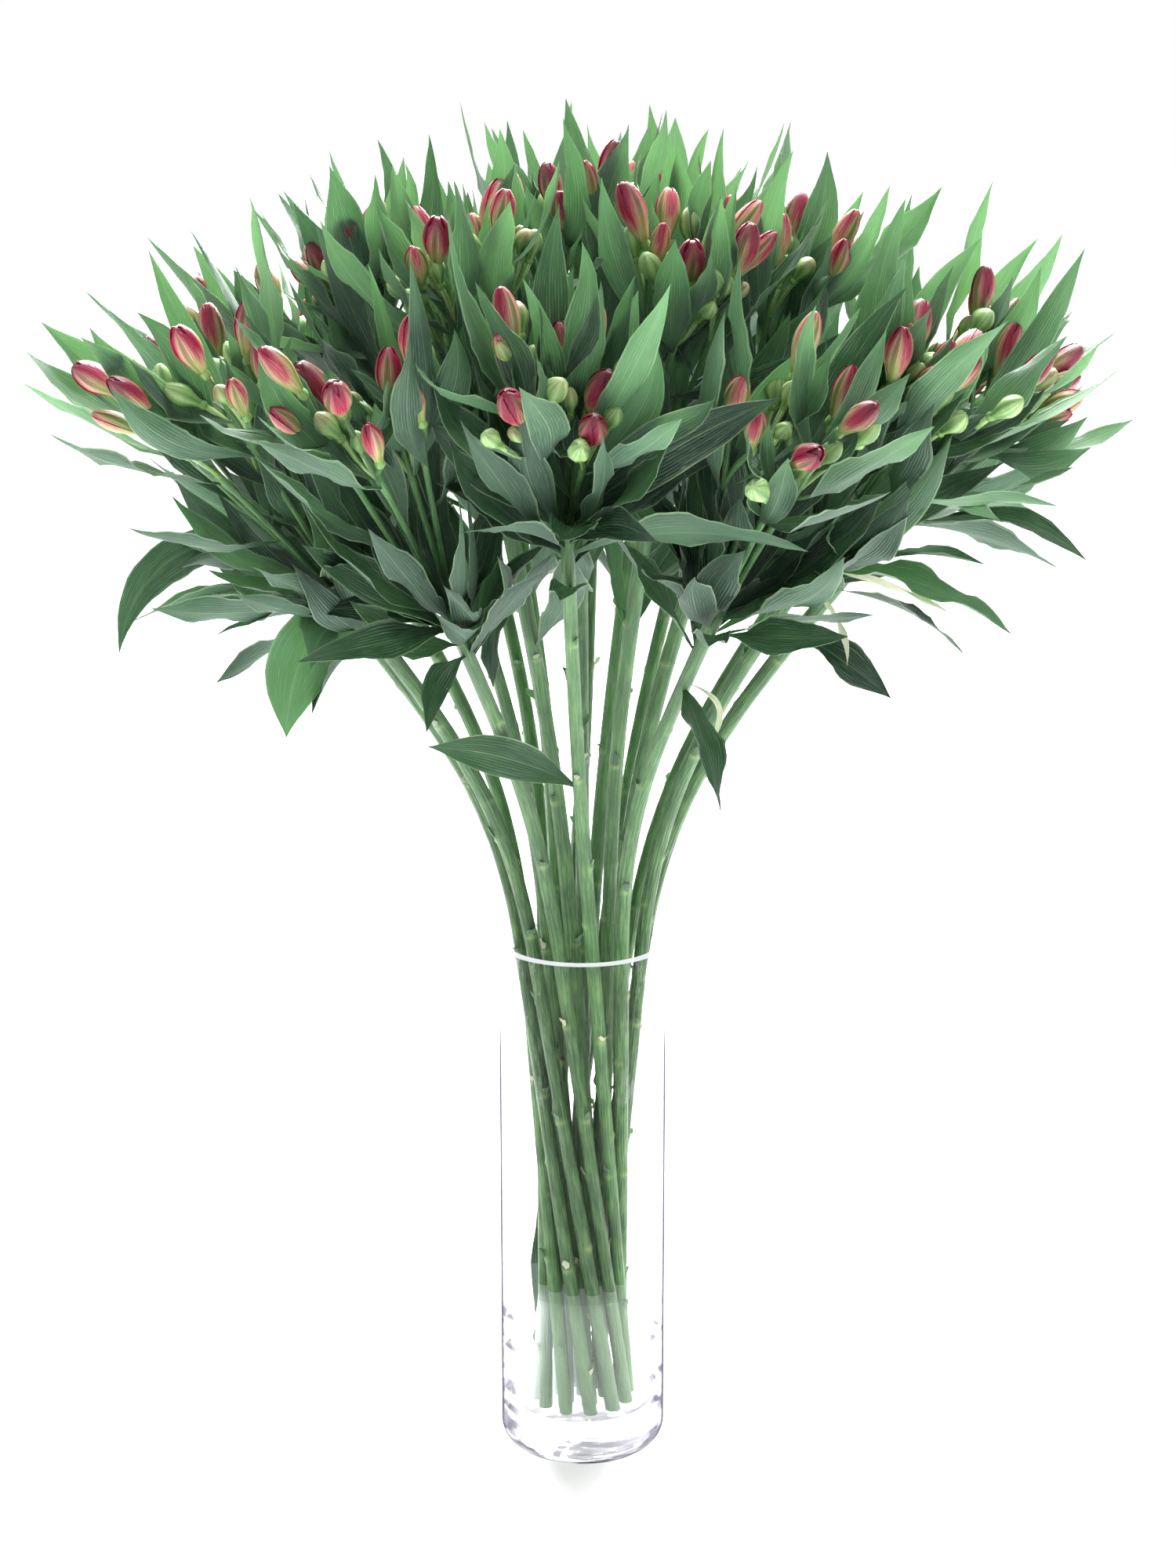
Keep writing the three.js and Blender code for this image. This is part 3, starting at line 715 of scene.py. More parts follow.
def leafOf(kind, stem, item, base, axis, out):
    # Pressed leaves curve up along the head, and past the arched opening they reach out and sag.
    shape = leafShape
    number = stem["id"]
    length = draw(number, item, 1, kind["length"])
    loose = kind.get("loose", False)
    limit = openingLimit(base, axis, out, length, stem["cell"], shape["looseTipRoom" if loose else "tipRoom"])
    opening = min(draw(number, item, 2, kind["opening"]), limit)
    free = float(smooth((opening - shape["pressedTo"]) / (shape["archedFrom"] - shape["pressedTo"])))
    twistRoot = draw(number, item, 4, around(shape["twistRoot"]))
    return {
        "id": number, "item": item, "base": base, "axis": axis, "out": out, "grid": kind["grid"],
        "length": length * spreadShare(base, axis, out, opening, length),
        "width": draw(number, item, 3, kind["width"]),
        "openRoot": opening + mix(shape["pressedRoot"], shape["archedRoot"], free),
        "openTip": opening + mix(shape["pressedTip"], shape["archedTip"], free),
        "twist": (twistRoot, draw(number, item, 5, around(shape["twistTip"]))),
        "droop": shape["sag"] * free, "sink": kind["sink"], "room": shape["looseRoom" if loose else "room"],
        "tone": draw(number, item, 24, kind["tone"]),
    }


def midribOf(leaf):
    # A cubic curve whose thirds leave the axis at the root angle, halfway between, and the tip angle.
    first = unit(leaning(leaf["axis"], leaf["out"], leaf["openRoot"]))
    last = unit(leaning(leaf["axis"], leaf["out"], leaf["openTip"]) - up * leaf["droop"])
    third = leaf["length"] / 3
    near = leaf["base"] + first * third
    far = near + unit(first + last) * third
    return np.array([leaf["base"], near, far, far + last * third])


def addLeaf(part, leaf, cell):
    # Points go out from the midrib by the half width, up by the fold, the edge's wave and the pleats, and
    # then by half the thickness along the surface's own normal, for the upper face and the lower.
    shape = leafShape
    number = leaf["id"]
    item = leaf["item"] + 0.5
    rows, columns = leaf["grid"]
    s = ((np.arange(rows) + 1) / (rows + 1))[:, None]
    u = np.linspace(1, -1, columns)[None, :]
    curve = midribOf(leaf)
    along = bezierWay(curve, s)
    across = np.cross(leaf["axis"], leaf["out"])
    side = turned(square(across, along), along, mix(*leaf["twist"], s))
    face = np.cross(along, side)
    root = min(shape["rootHalf"], leaf["width"] * shape["rootShare"]) * (1 - s) ** shape["rootFade"]
    half = np.hypot(leaf["width"] / 2 * bladeHalf(s), root)
    phase = draw(number, item, 11, anyPhase)
    waves = draw(number, item, 12, shape["waves"]) * 2 * math.pi
    skew = np.where(u > 0, phase, shape["sideSkew"] * phase)
    ripples = shape["ripples"] * 2 * math.pi * s + shape["rippleSkew"] * skew
    lift = shape["fold"] * np.abs(u) ** shape["foldPower"] + shape["wave"] * u**2 * np.sin(waves * s + skew)
    lift = lift + shape["ripple"] * u**4 * np.sin(ripples)
    pleat = shape["pleat"] * np.cos(math.pi * np.arange(columns))[None, :] * bladeHalf(s)
    bow = draw(number, item, 13, around(leaf.get("bow", shape["bow"]))) * leaf["length"] * np.sin(math.pi * s)
    surface = (bezier(curve, s) + side * bow)[:, None] + side[:, None] * (u * half)[..., None]
    surface = keepIn(surface + face[:, None] * (lift * half + pleat)[..., None], cell, leaf.get("room", 0))
    normal = unit(np.cross(np.gradient(surface, axis=0), -np.gradient(surface, axis=1)))
    deep = shape["thickness"] / 2 * (1 - shape["edgeThins"] * u**2) * np.minimum(1, half / shape["fullFrom"])
    wide = u * leaf["width"] / 2
    upper, lower = (onGrid(rows, columns, wide, s * leaf["length"], facing) for facing in (1, -1))
    share = onGrid(rows, columns, np.abs(u), s, leaf["tone"])
    start = leaf["base"] - bezierWay(curve, 0)[0] * leaf["sink"]
    end = keepIn(curve[3], cell, leaf.get("room", 0))
    rings = bothFaces(surface + normal * deep[..., None], surface - normal * deep[..., None])
    addRings(part, rings, bothFaces(upper, lower), bothFaces(share, share), start, end)


def placeOnStalk(stem, t, turn):
    # The place on the upper stalk, its way there, and the way out from it at the turn.
    axis = bezierWay(stem["upper"], t)[0]
    return bezier(stem["upper"], t)[0], axis, square(turned(stem["front"], axis, turn), axis)


stalkShape = {
    "item": 60, "sides": 14, "grain": 2.2, "inset": 0.97, "swell": 1.22, "swellLength": 14,
    "slim": 0.05, "slimLength": 70, "rib": 0.022, "ribs": 7, "step": 12, "leastStep": 0.6, "fine": 200,
    "scarFirst": (22, 42), "scarGap": (24, 48), "scarTopGap": 60, "scarHeight": 0.8, "scarWidth": 1.5,
    "scarAround": 0.06, "scarPower": 3, "scarRows": (-2.0, -0.8, 0.0, 0.8, 2.0),
    "goldenTurn": 137.5, "stemTurn": 40, "tone": (0.1, 0.75),
    "roundedBy": 1.6, "roundedIn": 0.25, "topGrain": 2, "cap": 2.6, "footCap": 0.2,
}
sheath = {"item": 80, "grid": (4, 3), "share": 0.62, "length": (4, 11), "width": (3, 5.5), "sink": 1.2,
          "openRoot": 10, "openTip": (5, 70), "twist": 50, "tone": (0.6, 1.5)}


def layScars(number, total):
    # The places of the leaf scars, each a drawn gap above the last.
    places = []
    place = draw(number, stalkShape["item"], 1, stalkShape["scarFirst"])
    while place < total - stalkShape["scarTopGap"]:
        places.append(place)
        place += draw(number, stalkShape["item"] + len(places), 2, stalkShape["scarGap"])
    return np.array(places)


def addStalk(part, leaves, stem):
    # The radius with shallow ribs, times the swelling under the head, plus a ridge at each leaf scar.
    shape = stalkShape
    number = stem["id"]
    lower = np.linalg.norm(stem["rim"] - stem["foot"])
    fine = np.linspace(0, 1, shape["fine"])
    steps = np.linalg.norm(np.diff(bezier(stem["upper"], fine), axis=0), axis=1)
    reached = lower + np.concatenate([[0], np.cumsum(steps)])
    total = reached[-1]
    scars = layScars(number, total)
    close = shape["scarWidth"] * np.array(shape["scarRows"])
    at = np.concatenate([np.arange(0, total, shape["step"]), (scars[:, None] + close).ravel(), [total]])
    at = np.unique(np.round(at[(at >= 0) & (at <= total)], 2))
    at = at[np.concatenate([[True], np.diff(at) > shape["leastStep"]])]

    def pathAt(distance):
        t = np.interp(distance, reached, fine)
        high = (distance > lower)[:, None]
        along = stem["foot"] + np.outer(np.minimum(distance, lower), stem["straight"])
        path = np.where(high, bezier(stem["upper"], t), along)
        return path, np.where(high, bezierWay(stem["upper"], t), stem["straight"])

    path, way = pathAt(at)
    angle = turns(shape["sides"])
    swell = 1 + (shape["swell"] - 1) * smooth((at - total + shape["swellLength"]) / shape["swellLength"])
    slim = 1 + shape["slim"] * np.sin(at / shape["slimLength"] + number)
    ribs = 1 + shape["rib"] * np.cos(shape["ribs"] * angle)
    scarTurn = np.radians(shape["goldenTurn"] * np.arange(len(scars)) + shape["stemTurn"] * number)
    ridge = np.exp(-(((at[:, None] - scars) / shape["scarWidth"]) ** 2))
    oneSide = np.maximum(np.cos(angle[:, None] - scarTurn), 0) ** shape["scarPower"]
    raised = ridge @ mix(shape["scarAround"], 1, oneSide).T
    radius = shape["inset"] * stem["radius"] * (swell * slim)[:, None] * ribs + shape["scarHeight"] * raised
    rings = tubeRings(path, way, stem["front"], radius, shape["sides"])
    rings[0] -= np.outer((rings[0, :, 2] - stem["foot"][2]) / stem["straight"][2], stem["straight"])
    top = rings[-1] + stem["axis"] * shape["roundedBy"] + (stem["node"] - rings[-1]) * shape["roundedIn"]
    rings = np.concatenate([rings, top[None]])
    rows = len(rings)
    grain = roundGrain(rows, shape["sides"], shape["grain"], np.append(at, total + shape["topGrain"]))
    raised = np.concatenate([np.minimum(raised, 1), np.zeros((1, shape["sides"]))])
    tone = draw(number, shape["item"], 3, shape["tone"])
    share = onGrid(rows, shape["sides"], raised, np.append(at, total)[:, None] / total, tone)
    start = stem["foot"] + up * shape["footCap"]
    addRings(part, rings, grain, share, start, stem["node"] + stem["axis"] * shape["cap"])
    addSheaths(leaves, stem, *pathAt(scars), np.degrees(scarTurn))


def addSheaths(leaves, stem, places, ways, turnsRound):
    # A small flake of old leaf on most scars, standing off the stalk.
    number = stem["id"]
    for k, (place, axis, turn) in enumerate(zip(places, ways, turnsRound)):
        item = sheath["item"] + k
        if draw(number, item, 4, (0, 1)) > sheath["share"]:
            continue
        out = turned(square(stem["front"], axis), axis, turn)
        addLeaf(leaves, {
            **sheath, "id": number, "item": item, "axis": axis, "out": out, "droop": 0,
            "base": place + out * stem["radius"] * stalkShape["inset"],
            "length": draw(number, item, 1, sheath["length"]),
            "width": draw(number, item, 3, sheath["width"]),
            "openTip": draw(number, item, 5, sheath["openTip"]),
            "twist": (0, draw(number, item, 6, around(sheath["twist"]))),
            "tone": draw(number, item, 7, sheath["tone"]),
        }, [])


rayShape = {
    "item": 10, "count": 5, "spread": (3.5, 7), "foot": 2.9, "sink": 2, "root": 1.9, "neck": 1.6,
    "fork": 0.68, "knobRise": 0.7, "knobLength": 0.05, "flare": 1.15, "intoBud": 1.2, "turn": 12,
    "first": 30, "bow": 3.0, "sides": 8, "steps": 13, "tone": (0.5, 1.0), "cap": 0.2,
}
bigBud = {"length": (26, 34), "below": 6, "radius": (6, 7.5), "outward": 0.22, "room": 1, "tilt": 0.32,
          "tonePower": 1.3, "fullness": (1.04, 0.92), "bend": 2.2, "ovary": 0.15, "ovaryRadius": 2.9,
          "ovaryTone": 0.3, "ovaryShown": 0.8, "sunk": 0.6, "overlap": 1.2,
          "core": {"rows": 8, "sides": 9, "radius": 0.86, "grain": 4.0, "share": 0.6, "sunk": 0.3}}
sideBud = {"item": 190, "length": (27, 36), "radius": (5, 6.4), "tilt": 15, "stalk": (20, 34),
           "tone": (0.35, 1), "share": 0.5, "steps": 7, "sway": 2, "stalkRadius": 1.5, "stalkSwell": 0.35,
           "stalkSides": 6, "green": 0.8}
smallBud = {"length": (15, 24), "radius": (4.6, 6.4), "tilt": 24, "stalk": (22, 38), "below": 3,
            "steps": 6, "sway": 1.5, "stalkRadius": 1.35, "stalkSwell": 0.45, "stalkSides": 6,
            "ovary": (0.2, 0.5), "ovarySunk": 0.4, "rows": 9, "sides": 12, "from": 0.13, "full": 1.06,
            "lobe": 0.09, "lobeTwist": 0.5, "grain": 1.5, "sunk": 0.2}
tinyBud = {**smallBud, "length": (13, 20), "radius": (4, 5.6), "tilt": 26, "stalk": (18, 34), "below": 2,
           "besideItem": 220, "besideTurn": 0.6, "farItem": 130}
budShape = {"rows": 11, "columns": 7, "halfTurn": 74, "overlap": 0.55, "thickness": 0.55, "open": (0, 0.5),
            "along": (0.02, 0.97), "base": 0.42, "widest": 0.55, "span": 0.47, "power": 1.9, "fall": 0.65,
            "twist": 0.25, "first": 0.4, "last": 0.3, "keel": 0.35, "keelWidth": 0.28, "inset": 0.92,
            "openReach": 3.2, "lapMean": 0.9, "lapTilt": 0.75, "edgeThins": 0.5, "grain": (1.2, 3.0),
            "rootReach": 1.5, "sunk": 0.8, "tipReach": 0.9, "tipRise": 0.03}
ovaryShape = {"rows": 6, "sides": 12, "ribs": 6, "ends": 0.62, "early": 0.8, "rib": 0.07, "shade": 0.5,
              "along": 0.2}


def budProfile(s):
    # Eased up from the base's share of the radius to the widest place, then a rounded fall to the tip.
    shape = budShape
    rising = mix(shape["base"], 1, smooth(s / shape["widest"]))
    beyond = np.clip((s - shape["widest"]) / shape["span"], 0, 1)
    return np.where(s < shape["widest"], rising, (1 - beyond ** shape["power"]) ** shape["fall"])


def addTube(part, path, radius, reference, sides, tone):
    # A round tube along the path, with its ends closed.
    way = unit(np.gradient(path, axis=0))
    rings = tubeRings(path, way, reference, np.asarray(radius)[:, None], sides)
    length = np.concatenate([[0], np.cumsum(np.linalg.norm(np.diff(path, axis=0), axis=1))])
    share = onGrid(len(path), sides, 0.0, (length / length[-1])[:, None], tone)
    grain = roundGrain(len(path), sides, 1.0, length)
    cap = rayShape["cap"]
    addRings(part, rings, grain, share, path[0] - way[0] * cap, path[-1] + way[-1] * cap)


def layRay(stem, k):
    # A flower stalk from the node to the neck of its large bud, with its fork part of the way along.
    shape = rayShape
    number = stem["id"]
    item = shape["item"] + k
    turn = 360 * k / shape["count"] + draw(number, item, 1, around(shape["turn"])) + shape["first"]
    out = turned(stem["front"], stem["axis"], turn)
    towards = leaning(stem["axis"], out, draw(number, item, 2, shape["spread"]))
    radius = draw(number, item, 3, bigBud["radius"])
    length = draw(number, item, 4, bigBud["length"]) + bigBud["below"]
    tip = fan + towards * draw(number, item, 5, stem["ring"]["tip"])
    top = keepIn(tip, stem["cell"], radius + bigBud["room"])
    root = stem["node"] + out * shape["foot"]
    along = unit(top - root)
    budAxis = unit(along + bigBud["outward"] * out)
    middle = top - budAxis * length / 2
    budAxis = unit(budAxis + strayFrom(out, along, number, item, 25, bigBud["tilt"]))
    neck = middle - budAxis * length / 2
    leafOut = turned(out, along, draw(number, item, 10, around(forkLeaf["turn"])))
    hand = 1 if draw(number, item, 6, around(1)) > 0 else -1
    bow = strayFrom(out, along, number, item, 15, shape["bow"])
    t = np.linspace(0, 1, shape["steps"])
    return {
        "item": item, "root": root, "along": along, "fork": bowed(root, neck, shape["fork"], bow)[0],
        "neck": neck, "budAxis": budAxis, "radius": radius, "length": length, "leafOut": leafOut, "out": out,
        "beside": unit(np.cross(along, leafOut) * hand), "path": bowed(root, neck, t, bow), "t": t,
        "tone": draw(number, item, 17, (0, 1)) ** bigBud["tonePower"],
    }


def addTepal(part, bud, k, tone):
    # Across: an arc about the bud's axis, one edge further out than the other so that neighbours overlap.
    # Along: the bud's profile, with the arc narrowing to the tip and the tip leaning out as it opens.
    shape = budShape
    rows, columns = shape["rows"], shape["columns"]
    s = ((np.arange(rows) + shape["first"]) / (rows - shape["last"]))[:, None]
    u = np.linspace(-1, 1, columns)[None, :]
    cover = math.radians(shape["halfTurn"]) * np.sqrt(np.clip(1 - s**6, 0, 1))
    middle = math.radians(120 * k) + bud["phase"]
    turn = middle + u * cover + shape["twist"] * s
    raised = shape["overlap"] * (shape["lapMean"] + shape["lapTilt"] * u) * np.sqrt(np.sin(math.pi * s))
    keel = shape["keel"] * np.exp(-((u / shape["keelWidth"]) ** 2)) * np.sin(math.pi * s)
    opened = bud["open"] * shape["openReach"]
    radius = bud["radius"] * budProfile(s) * shape["inset"] + raised + keel + opened * s**4
    spine = bud["neck"] + bud["axis"] * (s * bud["length"]) + bud["bend"] * s**2
    away = bud["side"] * np.cos(turn)[..., None] + bud["other"] * np.sin(turn)[..., None]
    thin = shape["thickness"] / 2 * (1 - shape["edgeThins"] * u**2)
    upper = spine[:, None] + (radius + thin)[..., None] * away
    lower = spine[:, None] + (radius - thin)[..., None] * away
    wide, shift = shape["grain"]
    grain = onGrid(rows, columns, u * bud["radius"] * wide, s * bud["length"], k + shift * tone)
    share = onGrid(rows, columns, np.abs(u), s, tone)
    middle = middle + shape["twist"]
    middle = bud["side"] * math.cos(middle) + bud["other"] * math.sin(middle)
    start = spine[0] + middle * shape["rootReach"] - bud["axis"] * shape["sunk"]
    end = spine[-1] + bud["axis"] * bud["length"] * shape["tipRise"] + middle * (shape["tipReach"] + opened)
    addRings(part, bothFaces(upper, lower), bothFaces(grain, grain), bothFaces(share, share), start, end)


def addOvary(part, base, axis, side, length, radius, tone):
    # The green ovary under a bud: a short barrel, fullest before its middle, with six shallow ribs.
    shape = ovaryShape
    rows, sides = shape["rows"], shape["sides"]
    s = np.linspace(0, 1, rows)
    rib = np.cos(shape["ribs"] * turns(sides))
    barrel = mix(shape["ends"], 1, np.sin(math.pi * s ** shape["early"]))[:, None]
    path = base + np.outer(s * length, axis)
    rings = tubeRings(path, axis, side, radius * barrel * (1 + shape["rib"] * rib), sides)
    share = onGrid(rows, sides, np.maximum(rib, 0) * shape["shade"], shape["along"] * s[:, None], tone)
    addRings(part, rings, roundGrain(rows, sides, 1.0, s * length), share, path[0], path[-1])


def addBigBud(petals, greens, stem, ray):
    # An ovary, a closed core and three overlapping tepals round it.
    number = stem["id"]
    item = ray["item"]
    axis = ray["budAxis"]
    tone = ray["tone"]
    side = square(ray["leafOut"], axis)
    under = bigBud["ovary"] * ray["length"]
    foot = ray["neck"] - axis * bigBud["sunk"]
    addOvary(greens, foot, axis, side, under + bigBud["overlap"], bigBud["ovaryRadius"], bigBud["ovaryTone"])
    under = under * bigBud["ovaryShown"]
    bud = {
        "neck": ray["neck"] + axis * under, "axis": axis, "side": side, "other": np.cross(axis, side),
        "length": ray["length"] - under, "radius": ray["radius"] * mix(*bigBud["fullness"], tone),
        "phase": draw(number, item, 19, anyPhase),
        "open": draw(number, item, 18, budShape["open"]) * (1 - tone),
        "bend": ray["out"] * draw(number, item, 20, around(bigBud["bend"])),
    }
    for k in range(3):
        addTepal(petals, bud, k, tone)
    core = bigBud["core"]
    rows, sides = core["rows"], core["sides"]
    s = np.linspace(*budShape["along"], rows)
    spine = bud["neck"] + np.outer(s * bud["length"], axis) + np.outer(s**2, bud["bend"])
    rings = tubeRings(spine, axis, side, (bud["radius"] * budProfile(s) * core["radius"])[:, None], sides)
    addRings(
        petals, rings, roundGrain(rows, sides, core["grain"], s * bud["length"]),
        onGrid(rows, sides, core["share"], s[:, None], tone), spine[0] - axis * core["sunk"],
        spine[-1] + axis * bud["length"] * budShape["tipRise"],
    )


def addSideBud(stalks, petals, greens, stem, ray, item):
    # A second large bud, younger and greener, on a stalk of its own from the fork.
    shape = sideBud
    number = stem["id"]
    axis = unit(leaning(ray["along"], -ray["beside"], shape["tilt"]))
    length = draw(number, item, 8, shape["length"])
    radius = draw(number, item, 9, shape["radius"])
    top = ray["fork"] + axis * (draw(number, item, 7, shape["stalk"]) + length)
    top = keepIn(top, stem["cell"], radius + bigBud["room"])
    axis = unit(top - ray["fork"])
    budAxis = unit(axis + strayFrom(ray["out"], ray["along"], number, item, 25, bigBud["tilt"]))
    neck = top - budAxis * length
    t = np.linspace(0, 1, shape["steps"])
    sway = turned(ray["out"], axis, draw(number, item, 22, anyTurn)) * shape["sway"]
    stalkRadius = shape["stalkRadius"] + shape["stalkSwell"] * t**2
    path = bowed(ray["fork"], neck, t, sway)
    addTube(stalks, path, stalkRadius, ray["leafOut"], shape["stalkSides"], shape["green"])
    addBigBud(petals, greens, stem, {
        **ray, "item": item, "neck": neck, "budAxis": budAxis, "length": length, "radius": radius,
        "tone": draw(number, item, 17, shape["tone"]),
    })


def addSmallBud(greens, stem, ray, kind, hand, item):
    # A closed bud on its own thin stalk: the same profile, with three lobes and a rib on each.
    number = stem["id"]
    room = bigBud["room"]
    axis = unit(leaning(ray["along"], ray["beside"] * hand, kind["tilt"]))
    neck = ray["fork"] + axis * draw(number, item, 7, kind["stalk"])
    length = draw(number, item, 8, kind["length"]) + kind["below"]
    radius = draw(number, item, 9, kind["radius"])
    tone = draw(number, item, 21, (0, 1))
    side = square(ray["leafOut"], axis)
    t = np.linspace(0, 1, kind["steps"])
    sway = turned(side, axis, draw(number, item, 22, anyTurn)) * kind["sway"]
    path = keepIn(bowed(ray["fork"], neck, t, sway), stem["cell"], room + 1)
    stalkRadius = kind["stalkRadius"] + kind["stalkSwell"] * t**2
    addTube(greens, path, stalkRadius, ray["leafOut"], kind["stalkSides"], 0.0)
    neck = path[-1]
    axis = unit(axis + strayFrom(side, axis, number, item, 27, bigBud["tilt"]))
    under, wide = kind["ovary"]
    addOvary(greens, neck - axis * kind["ovarySunk"], axis, side, length * under + 1, radius * wide, 0.0)
    rows, sides = kind["rows"], kind["sides"]
    s = np.linspace(*budShape["along"], rows)[:, None]
    start = neck + axis * length * kind["from"]
    span = length * (1 - kind["from"])
    spine = keepIn(start + s * span * axis, stem["cell"], radius + room)
    lobe = np.cos(3 * turns(sides)[None, :] + kind["lobeTwist"] * s)
    reach = radius * kind["full"] * budProfile(s) * (1 + kind["lobe"] * lobe)
    rings = tubeRings(spine, axis, side, reach, sides)
    ridge = np.maximum(lobe, 0) ** 4 + np.maximum(-lobe, 0) ** 12
    addRings(
        greens, rings, roundGrain(rows, sides, kind["grain"], s[:, 0] * span),
        onGrid(rows, sides, ridge, s, tone), start - axis * kind["sunk"],
        spine[-1] + axis * span * budShape["tipRise"],
    )


def growRay(stalks, leaves, petals, greens, stem, k):
    # One flower stalk with its large bud, its other buds, the leaf at its fork and the looser leaves.
    shape = rayShape
    number = stem["id"]
    ray = layRay(stem, k)
    t = ray["t"]
    knob = np.exp(-(((t - shape["fork"]) / shape["knobLength"]) ** 2))
    radius = mix(shape["root"], shape["neck"], t) + shape["knobRise"] * knob
    radius = np.concatenate([[shape["root"]], radius, [shape["neck"] * shape["flare"]]])
    start = ray["root"] - ray["along"] * shape["sink"]
    end = ray["neck"] + ray["budAxis"] * shape["intoBud"]
    path = np.concatenate([start[None], ray["path"], end[None]])
    tone = draw(number, ray["item"], 23, shape["tone"])
    addTube(stalks, path, radius, ray["leafOut"], shape["sides"], tone)
    addBigBud(petals, greens, stem, ray)
    addSmallBud(greens, stem, ray, smallBud, 1, ray["item"])
    item = tinyBud["besideItem"] + k
    addSmallBud(greens, stem, ray, tinyBud, draw(number, item, 6, around(tinyBud["besideTurn"])), item)
    item = sideBud["item"] + k
    if draw(number, item, 6, (0, 1)) < sideBud["share"]:
        addSideBud(stalks, petals, greens, stem, ray, item)
    else:
        addSmallBud(greens, stem, ray, tinyBud, -1, tinyBud["farItem"] + k)

    base = ray["fork"] - ray["along"] * forkLeaf["below"]
    kind = {**forkLeaf, "length": stem["ring"]["forkLeaf"]}
    leaf = leafOf(kind, stem, forkLeaf["item"] + k, base, ray["along"], ray["leafOut"])
    addLeaf(leaves, leaf, stem["cell"])
    for kind in (rayLeaf, crownLeaf, bract):
        for first, at in kind["items"].items():
            item = first + k
            out = turned(-ray["leafOut"], ray["along"], draw(number, item, 7, around(kind["turn"])))
            base = mix(ray["root"], ray["neck"], draw(number, item, 6, at))
            addLeaf(leaves, leafOf(kind, stem, item, base, ray["along"], out), stem["cell"])


def growWhorl(leaves, stem, kind):
    # Leaves at even turns round the node, each shifted a little, and a little below it.
    number = stem["id"]
    count = stem["ring"]["leaves"]
    for k in range(count):
        item = kind["item"] + k
        turn = 360 * (k + kind["shift"]) / count + draw(number, item, 6, around(kind["turn"]))
        out = turned(stem["front"], stem["axis"], turn)
        base = stem["node"] - stem["axis"] * draw(number, item, 7, kind["below"]) + out * stem["radius"] / 2
        addLeaf(leaves, leafOf(kind, stem, item, base, stem["axis"], out), stem["cell"])


def growStalkLeaves(leaves, stem):
    # On an outer stem one leaf faces out of the bunch. Below the heads, leaves fill all sides of the inner
    # stalks and the inner side of the outer ones.
    number = stem["id"]
    outer = stem["ring"]["count"] == plan["rings"][-1]["count"]
    if outer:
        item = strayLeaf["item"]
        at = draw(number, item, 6, strayLeaf["at"])
        place = placeOnStalk(stem, at, draw(number, item, 7, around(strayLeaf["turn"])))
        addLeaf(leaves, leafOf(strayLeaf, stem, item, *place), stem["cell"])
    filling = fillLeaf["outer" if outer else "inner"]
    for item in range(fillLeaf["item"], fillLeaf["item"] + filling["count"]):
        at = draw(number, item, 6, filling["at"])
        place = placeOnStalk(stem, at, draw(number, item, 7, filling["turn"]))
        addLeaf(leaves, leafOf(fillLeaf, stem, item, *place), [])


def growPlacedLeaves(leaves, stem):
    # Leaves that hang or stand off at a chosen place, and the leaf inside the vase, which hangs down its wall
    # into the water.
    for k, row in enumerate(placedLeaves):
        leaf = {**placedLeaf, **dict(zip(placedFields, row)), "id": stem["id"]}
        if leaf["id"] == leaf["stem"]:
            leaf["item"] += k
            leaf["base"], leaf["axis"], leaf["out"] = placeOnStalk(stem, leaf["at"], leaf["turn"])
            addLeaf(leaves, leaf, [] if leaf["low"] else stem["cell"])
    if stem["id"] == lowLeaf["stem"]:
        share = (lowLeaf["height"] - stem["foot"][2]) / (stem["rim"][2] - stem["foot"][2])
        base = mix(stem["foot"], stem["rim"], share)
        out = turned(unit(base * [1, 1, 0]), up, lowLeaf["turn"])
        addLeaf(leaves, {**lowLeaf, "id": stem["id"], "base": base, "axis": -up, "out": out}, [])


def growStem(stem):
    # One stem in two pieces: its stalks with their leaves, and its buds.
    stalks, leaves, petals, greens = newPart(), newPart(), newPart(), newPart()
    digits = f"{stem['id'] + 1:02d}"
    addStalk(stalks, leaves, stem)
    for kind in (whorl, underLeaf, innerLeaf):
        growWhorl(leaves, stem, kind)
    for k in range(rayShape["count"]):
        growRay(stalks, leaves, petals, greens, stem, k)
    growStalkLeaves(leaves, stem)
    growPlacedLeaves(leaves, stem)
    leafy = addPiece(f"leafyStem_{digits}", [(stalks, stalkMaterial), (leaves, leafMaterial)])
    buds = addPiece(f"buds_{digits}", [(petals, petalMaterial), (greens, greenBudMaterial)])
    for piece in (leafy, buds):
        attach(piece, "root")
        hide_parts(f"stem_{digits}")
    return leafy, buds


stems = layStems()
grown = [piece for stem in stems for piece in growStem(stem)]
faceCount = sum(len(piece.data.polygons) for piece in grown)
print(f"stage: {len(stems)} stems grown, {faceCount} faces")

vaseShape = {
    "radius": 50.0, "wall": 6.0, "height": 320.0, "floor": 28.0, "heel": 14.0, "lip": 2.2, "innerHeel": 5.0,
    "segments": 128, "push": 0.8, "pushRadii": (6, 20), "pushEdge": 5, "pushLeft": 0.4, "floorRadii": (25, 8),
    "heelSteps": 12, "wallSteps": 12, "lipSteps": 6, "innerSteps": 8,
    "heelGap": 6, "lipGap": 4, "floorGap": 8, "sharpAngle": 80,
}


def arc(centreRadius, centreHeight, radius, fromAngle, toAngle, count):
    # Points on a circle's arc, as radius from the axis and height.
    angle = np.radians(np.linspace(fromAngle, toAngle, count))
    return np.stack([centreRadius + radius * np.cos(angle), centreHeight + radius * np.sin(angle)], -1)


def straightUp(radius, low, high, count):
    # Even steps from one height to the other at the radius.
    return np.stack([np.full(count, radius), np.linspace(low, high, count)], -1)


